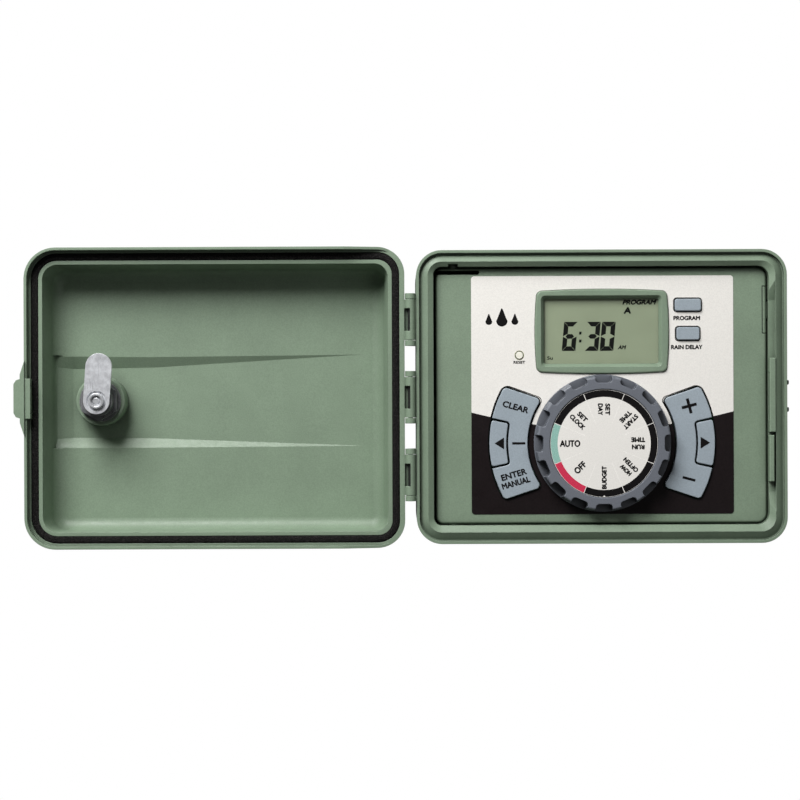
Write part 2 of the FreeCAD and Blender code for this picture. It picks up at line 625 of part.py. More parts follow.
def panel_pegs():
    pegs = []
    for side in (-1, 1):
        z0, z1 = sorted((MID_Z + side * (PANEL_HALF_H - 0.6), MID_Z + side * (MOUTH_Z + PEG_REACH)))
        pegs.append(cyl_z(PEG_X, PEG_Y, PEG_R, z0, z1))
    return pegs


def rocker_shaft_ears(side):
    ears = []
    for r in (ROCKER_IN - 2.6, ROCKER_OUT + 1.2):
        x = DIAL_X + side * (r + 0.9)
        ears.append(box(x - 0.9, x + 0.9, PLATE_BACK - 0.5, RIM + 15, DIAL_Z - 3.5, DIAL_Z + 3.5))
    return ears


def panel_slab(inset, y0, y1):
    z = PANEL_HALF_H - inset
    x0, x1 = PANEL_X0 + inset, PANEL_X1 - inset
    return slab(x0, x1, MID_Z - z, MID_Z + z, PANEL_R - inset, y0, y1, PANEL_HINGE_R - inset)


def panel_front():
    plate = panel_slab(0, PANEL_Y, SKIRT_BACK)
    plate = round_edges(plate, PANEL_ROUND, lambda e: lies_at_y(e, PANEL_Y))
    body = plate.cut(panel_slab(SKIRT_WALL, PLATE_BACK, SKIRT_BACK + 1))
    posts = [cyl_y(x, z, POST_R, PLATE_BACK - 0.5, BOARD_Y0 - 0.02) for x, z in BOARD_SCREWS]
    posts += [cyl_y(x, z, COVER_POST_R, PLATE_BACK - 0.5, RIM + 15) for x, z in COVER_SCREWS]
    ears = rocker_shaft_ears(-1) + rocker_shaft_ears(1)
    bezel = bezel_block(0, PANEL_Y - BEZEL_PROUD, PANEL_Y + 0.5)
    bezel = round_edges(bezel, 1.0, lambda e: lies_at_y(e, PANEL_Y - BEZEL_PROUD))
    bump = cyl_z(BUMP_X, PLATE_BACK, BUMP_R, *BUMP_Z)
    body = union([body, bezel, bump] + posts + ears)
    body = body.cut(inside_of_bump())
    for cutter in panel_cuts():
        body = body.cut(cutter)
    return union([body] + panel_pegs())


def inside_of_bump():
    x1 = PANEL_X1 - SKIRT_WALL
    return box(x1 - 4, x1, PLATE_BACK, SKIRT_BACK, BUMP_Z[0] - 4, BUMP_Z[1] + 4)


def panel_cuts():
    y0, y1 = PANEL_Y - 5, SKIRT_BACK + 1
    cuts = [
        centred_slab(SCREEN_X, SCREEN_Z, SCREEN_W, SCREEN_H, 1.5, y0, y1),
        window_bevel(),
        centred_slab(SCREEN_X, SCREEN_Z, 76.2, 45.2, 1, PANEL_Y + 1, y1),
        button_slab(PROGRAM_Z, PROGRAM_SIZE, BUTTON_GAP, y0, y1),
        button_slab(RAIN_Z, RAIN_SIZE, BUTTON_GAP, y0, y1),
        cyl_y(RESET_X, RESET_Z, RESET_R + 0.3, y0, y1),
        cyl_y(DIAL_X, DIAL_Z, HUB_R + RUN, y0, y1),
        rocker_sector(-1, APERTURE_GAP, y0, PLATE_BACK + 0.01),
        rocker_sector(1, APERTURE_GAP, y0, PLATE_BACK + 0.01),
        box(PANEL_X0 - 1, SLOT_END_X, y0, y1, *SLOT_Z),
        cyl_y(SLOT_END_X, sum(SLOT_Z) / 2, (SLOT_Z[1] - SLOT_Z[0]) / 2, y0, y1),
        box(TONGUE_X, TONGUE_X + TONGUE_GAP, y0, RIM + 14, *TONGUE_Z),
    ]
    for z in TONGUE_Z:
        cuts.append(box(TONGUE_X, PANEL_X1 + 1, y0, RIM + 14, z - TONGUE_GAP / 2, z + TONGUE_GAP / 2))
    for x, z in BOARD_SCREWS:
        cuts.append(cyl_y(x, z, PILOT_R, PLATE_BACK + 1, y1 + 5))
    for x, z in COVER_SCREWS:
        cuts.append(cyl_y(x, z, PILOT_R, PLATE_BACK + 1, y1))
    for side in (-1, 1):
        x0, x1 = sorted((DIAL_X + side * (ROCKER_IN - 4), DIAL_X + side * (ROCKER_OUT + 4)))
        cuts.append(cyl_x(SHAFT_Y, DIAL_Z, SHAFT_R + RUN, x0, x1))
    return cuts


def faceplate_overlay():
    y0, y1 = PANEL_Y - OVERLAY_T, PANEL_Y - 0.001
    sheet = slab(-81.3, 83.4, -73.8, 75.9, 2.0, y0, y1)
    cuts = [
        bezel_block(0.3, y0 - 1, y1 + 1),
        rocker_sector(-1, APERTURE_GAP, y0 - 1, y1 + 1),
        rocker_sector(1, APERTURE_GAP, y0 - 1, y1 + 1),
        button_slab(PROGRAM_Z, PROGRAM_SIZE, BUTTON_GAP, y0 - 1, y1 + 1),
        button_slab(RAIN_Z, RAIN_SIZE, BUTTON_GAP, y0 - 1, y1 + 1),
        cyl_y(RESET_X, RESET_Z, RESET_R + 0.5, y0 - 1, y1 + 1),
        cyl_y(DIAL_X, DIAL_Z, HUB_R + 1.5, y0 - 1, y1 + 1),
    ]
    for cutter in cuts:
        sheet = sheet.cut(cutter)
    return sheet


# ---- display and board ---------------------------------------------------
GLASS_W, GLASS_H = 80.0, 50.0
GLASS_Y0, GLASS_T = RIM + 9.7, 2.4
SWITCH_PLACES = (
    (-50.5, -4.0), (-50.5, -54.4), (-66.5, -22.5), (51.9, -4.0), (51.9, -54.4), (67.9, -22.5),
    (BUTTON_X, PROGRAM_Z), (BUTTON_X, RAIN_Z), (RESET_X, RESET_Z),
)


def display_lens():
    return centred_slab(SCREEN_X, SCREEN_Z, 76, 45, 1, PANEL_Y + 1.02, PLATE_BACK)


def lcd_glass():
    return centred_slab(SCREEN_X, SCREEN_Z, GLASS_W, GLASS_H, 0.5, GLASS_Y0, GLASS_Y0 + GLASS_T)


def lcd_holder():
    outer = centred_slab(SCREEN_X, SCREEN_Z, GLASS_W + 5, GLASS_H + 5, 2, PLATE_BACK + 0.1, BOARD_Y0 - 0.05)
    return outer.cut(centred_slab(SCREEN_X, SCREEN_Z, GLASS_W + 0.4, GLASS_H + 0.4, 0.6, RIM, BOARD_Y0 + 1))


def zebra_strips():
    strips = []
    for z in (SCREEN_Z - GLASS_H / 2 + 2.5, SCREEN_Z + GLASS_H / 2 - 2.5):
        y0, y1 = GLASS_Y0 + GLASS_T + 0.02, BOARD_Y0 - 0.02
        strips.append(box(SCREEN_X - 36, SCREEN_X + 36, y0, y1, z - 1.5, z + 1.5))
    return group(strips)


def main_board():
    board = slab(-BOARD_X, BOARD_X, -BOARD_Z, BOARD_Z, 2, BOARD_Y0, BOARD_Y0 + BOARD_T)
    for x, z in BOARD_SCREWS:
        board = board.cut(cyl_y(x, z, 1.6, BOARD_Y0 - 1, BOARD_Y0 + 3))
    return board.cut(cyl_y(DIAL_X, DIAL_Z, 2.5 + RUN, BOARD_Y0 - 1, BOARD_Y0 + 3))


def tact_switches():
    switches = []
    for x, z in SWITCH_PLACES:
        case = box(x - 3, x + 3, BOARD_Y0 - 3.5, BOARD_Y0 - 0.01, z - 3, z + 3)
        switches.append(case.fuse(cyl_y(x, z, 1.7, BOARD_Y0 - 4.3, BOARD_Y0 - 3)))
    return group(switches)


def screw_along_y(x, z, shank_r, tip_y, head_y, head_r, head_t):
    """Pan-head screw driven towards -Y, with a cross recess."""
    shank = cyl_y(x, z, shank_r, tip_y, head_y + 0.1)
    head = cyl_y(x, z, head_r, head_y, head_y + head_t)
    head = round_edges(head, head_t * 0.4, lambda e: lies_at_y(e, head_y + head_t))
    w, reach, floor_y = head_r * 0.22, head_r * 0.6, head_y + head_t * 0.45
    cross = box(x - reach, x + reach, floor_y, head_y + 9, z - w, z + w)
    cross = cross.fuse(box(x - w, x + w, floor_y, head_y + 9, z - reach, z + reach))
    return shank.fuse(head).cut(cross)


def board_screws():
    y = BOARD_Y0 + BOARD_T + 0.02
    return group([screw_along_y(x, z, 1.25, PLATE_BACK + 2, y, 2.8, 1.6) for x, z in BOARD_SCREWS])


def panel_back_cover():
    outer = slab(-COVER_X, COVER_X, -COVER_Z, COVER_Z, 4, PLATE_BACK + 0.1, COVER_BACK)
    outer = round_edges(outer, 1.5, lambda e: lies_at_y(e, COVER_BACK))
    inner = slab(2 - COVER_X, COVER_X - 2, 2 - COVER_Z, COVER_Z - 2, 2, RIM, COVER_BACK - 2)
    body = outer.cut(inner)
    for x, z in COVER_SCREWS:
        x0, x1 = sorted((x + math.copysign(4, x), math.copysign(COVER_X - 1, x)))
        body = body.fuse(box(x0, x1, RIM + 15.05, RIM + 17, z - 5, z + 5))
    for x, z in COVER_SCREWS:
        body = body.cut(cyl_y(x, z, 1.6, RIM + 14, RIM + 18))
    half = RIBBON_HALF + 2
    exit_y0, exit_y1 = RIM + 21.5, RIM + 26.5
    body = body.cut(box(-COVER_X - 1, -COVER_X + 3, exit_y0, exit_y1, RIBBON_Z - half, RIBBON_Z + half))
    door = box(-16, 16, COVER_BACK - 3, COVER_BACK + 1, -16, 16)
    return body.cut(door).removeSplitter()


def back_cover_screws():
    y = RIM + 17.02
    return group([screw_along_y(x, z, 1.25, RIM + 11.5, y, 2.6, 1.5) for x, z in COVER_SCREWS])


def battery_clip():
    y0 = BOARD_Y0 + BOARD_T + 0.02
    ring = cyl_y(0, 0, 12.4, y0, y0 + 5.4).cut(cyl_y(0, 0, 10.4, y0 + 1.2, y0 + 9))
    return ring.cut(box(-6, 6, y0 + 1.2, y0 + 9, 8, 14))


def coin_cell():
    y0 = BOARD_Y0 + BOARD_T + 1.26
    return round_edges(cyl_y(0, 0, 10, y0, y0 + 3.2), 0.4, lambda e: lies_at_y(e, y0 + 3.2))


def battery_door():
    door = box(-15.8, 15.8, COVER_BACK - 1.9, COVER_BACK, -15.8, 15.8)
    for i in range(4):
        z = -9 + 6 * i
        door = door.cut(box(-9, 9, COVER_BACK - 0.7, COVER_BACK + 1, z - 0.6, z + 0.6))
    return door


def ribbon_socket():
    y0 = BOARD_Y0 + BOARD_T + 0.02
    half = RIBBON_HALF + 2
    shell = box(-77, -69, y0, y0 + 7, RIBBON_Z - half, RIBBON_Z + half)
    return shell.cut(box(-78, -70.5, y0 + 1.5, y0 + 5.5, RIBBON_Z - half + 1.5, RIBBON_Z + half - 1.5))


# ---- dial ----------------------------------------------------------------
DIAL_BACK = PANEL_Y - OVERLAY_T - 0.35
DIAL_FRONT = RIM - 6.0
DIAL_RING_IN, DIAL_DISH, DIAL_ROUND, FLANGE_T = 33.6, 0.9, 1.4, 2.6
ROTOR_Y, ROTOR_T, ROTOR_R = RIM + 13.0, 3.0, 22.0


def dial_profile():
    """Half section of the dial's turned body: (radius, y) corners joined by a rounded rim."""
    r, round_r = DIAL_R, DIAL_ROUND
    dish_y = DIAL_FRONT + DIAL_DISH
    corners = [
        (0, DIAL_BACK), (r, DIAL_BACK), (r, DIAL_BACK - FLANGE_T), (r - 0.5, DIAL_BACK - FLANGE_T - 0.4),
        (r - 1.2, DIAL_FRONT + round_r), (r - 1.2 - round_r, DIAL_FRONT),
        (DIAL_RING_IN + 0.4, DIAL_FRONT), (DIAL_RING_IN, dish_y), (0, dish_y),
    ]
    points = [V(DIAL_X + a, y, DIAL_Z) for a, y in corners]
    edges = []
    for i, point in enumerate(points):
        following = points[(i + 1) % len(points)]
        if i == 4:
            turn = round_r * (1 - math.sqrt(0.5))
            middle = V(DIAL_X + r - 1.2 - turn, DIAL_FRONT + turn, DIAL_Z)
            edges.append(Part.Arc(point, middle, following).toShape())
        else:
            edges.append(Part.makeLine(point, following))
    return Part.Face(Part.Wire(edges))


def finger_pocket(degrees):
    """Round-cornered notch in the dial's rim, open outwards, its floor on the base flange."""
    half = SCALLOP_W / 2
    z0, z1 = DIAL_Z + SCALLOP_IN, DIAL_Z + DIAL_R + 8
    pocket = slab(DIAL_X - half, DIAL_X + half, z0, z1, SCALLOP_CORNER, DIAL_FRONT - 1, DIAL_BACK - FLANGE_T)
    pocket.rotate(V(DIAL_X, 0, DIAL_Z), V(0, 1, 0), degrees)
    return pocket


def dial_knob():
    knob = dial_profile().revolve(V(DIAL_X, 0, DIAL_Z), V(0, 1, 0), 360)
    knob = knob.cut(group([finger_pocket(360.0 * i / SCALLOPS) for i in range(SCALLOPS)]))
    hub = cyl_y(DIAL_X, DIAL_Z, HUB_R, DIAL_BACK - 0.5, ROTOR_Y - 0.02)
    return knob.fuse(hub).cut(cyl_y(DIAL_X, DIAL_Z, 3.02, DIAL_BACK - 2, ROTOR_Y + 1))


def dial_label():
    y = DIAL_FRONT + DIAL_DISH
    return cyl_y(DIAL_X, DIAL_Z, DIAL_RING_IN - 0.2, y - 0.3, y - 0.001)


def dial_rotor():
    disc = cyl_y(DIAL_X, DIAL_Z, ROTOR_R, ROTOR_Y, ROTOR_Y + ROTOR_T)
    for i in range(8):
        a = math.radians(45 * i)
        x, z = DIAL_X + ROTOR_R * math.cos(a), DIAL_Z + ROTOR_R * math.sin(a)
        disc = disc.cut(cyl_y(x, z, 1.6, ROTOR_Y - 1, ROTOR_Y + 5))
    shaft = cyl_y(DIAL_X, DIAL_Z, 3, DIAL_BACK - 1.9, ROTOR_Y + 1)
    tail = cyl_y(DIAL_X, DIAL_Z, 2.5, ROTOR_Y + 1, BOARD_Y0 + 1)
    return union([disc, shaft, tail])


def contact_wiper():
    y0 = ROTOR_Y + ROTOR_T + 0.02
    plate = cyl_y(DIAL_X, DIAL_Z, 15, y0, y0 + 0.4).cut(cyl_y(DIAL_X, DIAL_Z, 11, y0 - 1, y0 + 1))
    fingers = []
    for i in range(3):
        a = math.radians(120 * i + 90)
        x, z = DIAL_X + 13 * math.cos(a), DIAL_Z + 13 * math.sin(a)
        fingers.append(cyl_y(x, z, 1.2, y0 + 0.2, BOARD_Y0 - 0.15))
    return union([plate] + fingers)


def detent_spring():
    """Leaf on the board beside the rotor, its nose just off the rotor's rim."""
    x = DIAL_X + ROTOR_R + 2.2
    leaf = box(x, x + 0.5, ROTOR_Y + 0.3, BOARD_Y0 - 0.02, DIAL_Z - 9, DIAL_Z + 9)
    nose = cyl_y(x, DIAL_Z, 1.4, ROTOR_Y + 0.3, ROTOR_Y + ROTOR_T - 0.3)
    nose = nose.common(box(x - 3, x + 0.2, RIM, BOARD_Y0, DIAL_Z - 3, DIAL_Z + 3))
    foot = box(x, x + 3.5, BOARD_Y0 - 0.52, BOARD_Y0 - 0.02, DIAL_Z - 9, DIAL_Z + 9)
    return union([leaf, nose, foot])


# ---- keys ----------------------------------------------------------------
def rocker(side):
    cap = rocker_sector(side, 0, KEY_FRONT, PLATE_BACK + 0.4)
    notch = arrow_sector(side, KEY_GAP, KEY_FRONT - 1, PLATE_BACK + 2)
    cap = cap.cut(round_uprights(notch, NOTCH_CORNER + KEY_GAP, near_arrow_inside))
    cap = round_edges(cap, 0.5, lambda e: lies_at_y(e, KEY_FRONT))
    x0, x1 = sorted((DIAL_X + side * (ROCKER_IN - 2.6), DIAL_X + side * (ROCKER_OUT + 3)))
    shaft = cyl_x(SHAFT_Y, DIAL_Z, SHAFT_R, x0, x1)
    web_x = DIAL_X + side * 52
    web = box(web_x - 2.5, web_x + 2.5, PLATE_BACK, SHAFT_Y, DIAL_Z - 2, DIAL_Z + 2)
    solids = [cap, shaft, web]
    for dz in (25.2, -25.2):
        solids.append(cyl_y(DIAL_X + side * 51.2, DIAL_Z + dz, 2, PLATE_BACK, KEY_FOOT))
    return union(solids)


def arrow_key(side):
    cap = round_uprights(arrow_sector(side, 0, KEY_FRONT, PLATE_BACK), NOTCH_CORNER)
    cap = round_edges(cap, 0.5, lambda e: lies_at_y(e, KEY_FRONT))
    return cap.fuse(cyl_y(DIAL_X + side * 67.2, -22.5, 1.8, PLATE_BACK - 0.5, KEY_FOOT))


def press_button(z, size):
    cap = button_slab(z, size, 0, KEY_FRONT, PLATE_BACK + 0.1)
    cap = round_edges(cap, 0.5, lambda e: lies_at_y(e, KEY_FRONT))
    flange = button_slab(z, size, BUTTON_GAP + 0.7, PLATE_BACK + 0.1, PLATE_BACK + 1.0)
    stem = cyl_y(BUTTON_X, z, 2, PLATE_BACK + 0.5, KEY_FOOT)
    return union([cap, flange, stem])


def reset_button():
    cap = cyl_y(RESET_X, RESET_Z, RESET_R, PANEL_Y - 0.8, PLATE_BACK + 0.1)
    flange = cyl_y(RESET_X, RESET_Z, RESET_R + 1, PLATE_BACK + 0.1, PLATE_BACK + 1)
    stem = cyl_y(RESET_X, RESET_Z, 1.5, PLATE_BACK + 0.5, RIM + 14)
    return union([cap, flange, stem])


# ---- inside the housing --------------------------------------------------
TERMINALS, TERMINAL_PITCH = 9, 7.5
BLOCK_Z, HEADER_X = TERM_Z - 16, TERM_X - 30


def transformer_core():
    core = box(TRAFO_X - 29, TRAFO_X + 29, -44, TRAFO_FOOT_Y - 1.6, TRAFO_Z - 12, TRAFO_Z + 12)
    for side in (-1, 1):
        x = TRAFO_X + side * 15.5
        core = core.cut(box(x - 5.5, x + 5.5, -37, -17, TRAFO_Z - 13, TRAFO_Z + 13))
    foot_y = TRAFO_FOOT_Y - 1.6
    foot = box(TRAFO_X - 44, TRAFO_X + 44, foot_y, TRAFO_FOOT_Y - 0.02, TRAFO_Z - 11, TRAFO_Z + 11)
    body = core.fuse(foot)
    for x in TRAFO_SCREW_XS:
        body = body.cut(cyl_y(x, TRAFO_Z, 2.2, TRAFO_FOOT_Y - 3, TRAFO_FOOT_Y + 1))
    return body


def transformer_coil():
    """Two-section winding around the core's centre leg."""
    outer = slab(TRAFO_X - 20.8, TRAFO_X + 20.8, TRAFO_Z - 22, TRAFO_Z + 22, 5, -36.8, -17.2)
    leg = box(TRAFO_X - 10.1, TRAFO_X + 10.1, -45, -9, TRAFO_Z - 12.1, TRAFO_Z + 12.1)
    return outer.cut(leg)


def outward_screw(x, z, shank_r, tip_y, seat_y, head_r, head_t):
    """Screw driven into the back wall: its head faces the front."""
    screw = screw_along_y(x, z, shank_r, -tip_y, -seat_y, head_r, head_t)
    screw.rotate(V(x, 0, z), V(0, 0, 1), 180)
    return screw


def transformer_screws():
    y = TRAFO_FOOT_Y - 1.62
    return group([outward_screw(x, TRAFO_Z, SCREW_R, -1.5, y, 3.6, 2.2) for x in TRAFO_SCREW_XS])


def terminal_board():
    y0, y1 = TERM_BOARD_Y1 - 1.6, TERM_BOARD_Y1 - 0.02
    board = slab(TERM_X - 52, TERM_X + 52, TERM_Z - 24, TERM_Z + 24, 1.5, y0, y1)
    for x in TERM_SCREW_XS:
        board = board.cut(cyl_y(x, TERM_Z, 2.0, y0 - 1, y1 + 1))
    return board


def terminal_board_screws():
    y = TERM_BOARD_Y1 - 1.62
    return group([outward_screw(x, TERM_Z, SCREW_R, -1.5, y, 3.4, 2.0) for x in TERM_SCREW_XS])


def terminal_xs():
    start = TERM_X - TERMINAL_PITCH * (TERMINALS - 1) / 2
    return [start + TERMINAL_PITCH * i for i in range(TERMINALS)]


def terminal_block():
    y1 = TERM_BOARD_Y1 - 1.62
    half = TERMINAL_PITCH * TERMINALS / 2
    block = box(TERM_X - half, TERM_X + half, y1 - 13, y1, BLOCK_Z - 6, BLOCK_Z + 6)
    for x in terminal_xs():
        block = block.cut(cyl_y(x, BLOCK_Z + 1.5, 2.4, y1 - 14, y1 - 4))
        block = block.cut(box(x - 2.3, x + 2.3, y1 - 8, y1 - 3, BLOCK_Z - 7, BLOCK_Z - 1.5))
    return block


def terminal_screws():
    y1 = TERM_BOARD_Y1 - 1.62
    screws = []
    for x in terminal_xs():
        head = cyl_y(x, BLOCK_Z + 1.5, 2.2, y1 - 11, y1 - 4.05)
        screws.append(head.cut(box(x - 1.8, x + 1.8, y1 - 12, y1 - 10.2, BLOCK_Z + 1.1, BLOCK_Z + 1.9)))
    return group(screws)


def terminal_header():
    y1 = TERM_BOARD_Y1 - 1.62
    half = RIBBON_HALF + 2
    shell = box(HEADER_X - 4, HEADER_X + 4, y1 - 9, y1, RIBBON_Z - half, RIBBON_Z + half)
    inner = half - 1.5
    return shell.cut(box(HEADER_X - 2, HEADER_X + 2, y1 - 10, y1 - 1.5, RIBBON_Z - inner, RIBBON_Z + inner))


def ribbon_path(z):
    """Corners of the cable's loop from the module's socket back to the header."""
    socket_y = RIM + 24.0
    plug_y = TERM_BOARD_Y1 - 5.5
    loop_x = -96.0
    corners = [
        (-72.0, socket_y), (loop_x + 5, socket_y), (loop_x, socket_y + 5), (loop_x, -30.0),
        (loop_x + 5, -25.0), (HEADER_X - 4, -25.0), (HEADER_X, -21.0), (HEADER_X, plug_y),
    ]
    return [V(x, y, z) for x, y in corners]


def ribbon_cable():
    """Flat cable as a band of even thickness following the path."""
    z0, z1 = RIBBON_Z - RIBBON_HALF, RIBBON_Z + RIBBON_HALF
    points = ribbon_path(z0)
    edges = []
    for i in range(len(points) - 1):
        a, b = points[i], points[i + 1]
        if i in (1, 3, 5):
            edges.append(Part.Arc(a, ribbon_bend(i, a, b), b).toShape())
        else:
            edges.append(Part.makeLine(a, b))
    path = Part.Wire(edges)
    y, x = points[0].y, points[0].x
    corners = [V(x, y - 0.5, z0), V(x, y + 0.5, z0), V(x, y + 0.5, z1), V(x, y - 0.5, z1)]
    return path.makePipeShell([Part.makePolygon(corners + [corners[0]])], True, False)


def ribbon_bend(i, a, b):
    """Middle point of the quarter turn between a and b."""
    centres = {1: V(a.x, b.y, a.z), 3: V(b.x, a.y, a.z), 5: V(a.x, b.y, a.z)}
    centre = centres[i]
    half = (a - centre) + (b - centre)
    half.normalize()
    return centre + half * (a - centre).Length


# ---- build ---------------------------------------------------------------
def build_all():
    parts["rear_housing"] = rear_housing()
    parts["latch_studs"] = latch_studs()
    parts["hinge_pins"] = hinge_pins()
    parts["lid_shell"] = lid_shell()
    parts["lid_gasket"] = lid_gasket()
    parts["lock_barrel"] = lock_barrel()
    parts["lock_nut"] = lock_nut()
    parts["lock_washer"] = lock_washer()
    parts["lock_plug"] = lock_plug()
    parts["lock_cam"] = lock_cam()
    parts["cam_nut"] = cam_nut()
    parts["panel_front"] = panel_front()
    parts["faceplate_overlay"] = faceplate_overlay()
    parts["display_lens"] = display_lens()
    parts["lcd_glass"] = lcd_glass()
    parts["lcd_holder"] = lcd_holder()
    parts["zebra_strips"] = zebra_strips()
    parts["main_board"] = main_board()
    parts["tact_switches"] = tact_switches()
    parts["board_screws"] = board_screws()
    parts["panel_back_cover"] = panel_back_cover()
    parts["back_cover_screws"] = back_cover_screws()
    parts["battery_clip"] = battery_clip()
    parts["coin_cell"] = coin_cell()
    parts["battery_door"] = battery_door()
    parts["ribbon_socket"] = ribbon_socket()
    parts["dial_knob"] = dial_knob()
    parts["dial_label"] = dial_label()
    parts["dial_rotor"] = dial_rotor()
    parts["contact_wiper"] = contact_wiper()
    parts["detent_spring"] = detent_spring()
    parts["left_rocker"] = rocker(-1)
    parts["right_rocker"] = rocker(1)
    parts["left_arrow_key"] = arrow_key(-1)
    parts["right_arrow_key"] = arrow_key(1)
    parts["program_button"] = press_button(PROGRAM_Z, PROGRAM_SIZE)
    parts["rain_delay_button"] = press_button(RAIN_Z, RAIN_SIZE)
    parts["reset_button"] = reset_button()
    parts["transformer_core"] = transformer_core()
    parts["transformer_coil"] = transformer_coil()
    parts["transformer_screws"] = transformer_screws()
    parts["terminal_board"] = terminal_board()
    parts["terminal_board_screws"] = terminal_board_screws()
    parts["terminal_block"] = terminal_block()
    parts["terminal_screws"] = terminal_screws()
    parts["terminal_header"] = terminal_header()
    parts["ribbon_cable"] = ribbon_cable()


def export_all():
    os.makedirs("parts", exist_ok=True)
    for name, shape in parts.items():
        solids = shape.Solids
        whole = solids[0] if len(solids) == 1 else Part.makeCompound(solids)
        print(name, len(solids), shape.isValid(), round(sum(s.Volume for s in solids), 1))
        whole.exportStep("parts/" + name + ".step")


build_all()
export_all()
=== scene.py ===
import math

import bpy
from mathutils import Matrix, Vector, noise


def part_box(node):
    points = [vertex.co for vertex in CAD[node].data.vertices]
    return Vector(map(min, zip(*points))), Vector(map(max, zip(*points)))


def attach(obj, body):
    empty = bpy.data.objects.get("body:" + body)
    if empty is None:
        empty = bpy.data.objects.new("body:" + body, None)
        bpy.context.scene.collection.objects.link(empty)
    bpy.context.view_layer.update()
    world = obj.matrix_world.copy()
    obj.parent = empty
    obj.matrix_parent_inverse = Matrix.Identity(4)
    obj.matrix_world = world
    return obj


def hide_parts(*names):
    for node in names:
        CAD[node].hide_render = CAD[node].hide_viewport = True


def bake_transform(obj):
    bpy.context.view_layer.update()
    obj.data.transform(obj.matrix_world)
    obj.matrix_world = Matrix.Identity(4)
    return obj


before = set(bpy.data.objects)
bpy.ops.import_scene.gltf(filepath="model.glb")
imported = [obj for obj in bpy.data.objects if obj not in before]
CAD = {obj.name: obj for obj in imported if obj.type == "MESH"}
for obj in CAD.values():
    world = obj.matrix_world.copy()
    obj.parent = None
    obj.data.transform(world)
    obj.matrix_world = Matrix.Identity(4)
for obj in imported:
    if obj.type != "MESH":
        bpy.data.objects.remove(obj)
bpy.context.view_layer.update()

MM = 0.001


def box_mm(node):
    """Lowest and highest corner of a CAD node, in millimetres."""
    low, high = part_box(node)
    return Vector(low) / MM, Vector(high) / MM


def centre_mm(node):
    """Middle of a CAD node seen from the front: (x, z) in millimetres."""
    low, high = box_mm(node)
    return (low.x + high.x) / 2, (low.z + high.z) / 2


# ---- places read from the frame -------------------------------------------
DIAL_X, DIAL_Z = centre_mm("dial_label")
DIAL_FACE = box_mm("dial_label")[0].y
PLATE_LOW, PLATE_HIGH = box_mm("faceplate_overlay")
PLATE_FACE = PLATE_LOW.y
KEY_FACE = box_mm("left_rocker")[0].y
GLASS_FACE = box_mm("lcd_glass")[0].y
SCREEN_X, SCREEN_Z = centre_mm("lcd_glass")
RIM_Y = box_mm("lid_gasket")[0].y - 0.1

# dark print of the faceplate: its top edge below the dial's middle line, and how it sags outwards
BORDER_RISE, BORDER_SAG_PER_M = 8.9, 1.57
INK_THICK = 0.06

# ---- colours, sRGB --------------------------------------------------------
GREEN = (123, 141, 120)
# lighter green of edges: partly wear, partly a painted highlight
GREEN_EDGE = (166, 184, 164)
KEY_BLUE = (154, 165, 173)
DIAL_BLUE = (105, 109, 117)
OFF_WHITE = (243, 240, 234)
PRINT_BLACK = (27, 21, 22)
INK = (14, 12, 13)
LCD_GREEN = (164, 176, 147)
MINT = (146, 190, 178)
RED = (208, 55, 85)
ZINC = (240, 242, 246)


def linear(rgb):
    """sRGB 0-255 to linear RGBA."""
    out = []
    for value in rgb:
        v = value / 255
        out.append(v / 12.92 if v <= 0.04045 else ((v + 0.055) / 1.055) ** 2.4)
    return (out[0], out[1], out[2], 1.0)


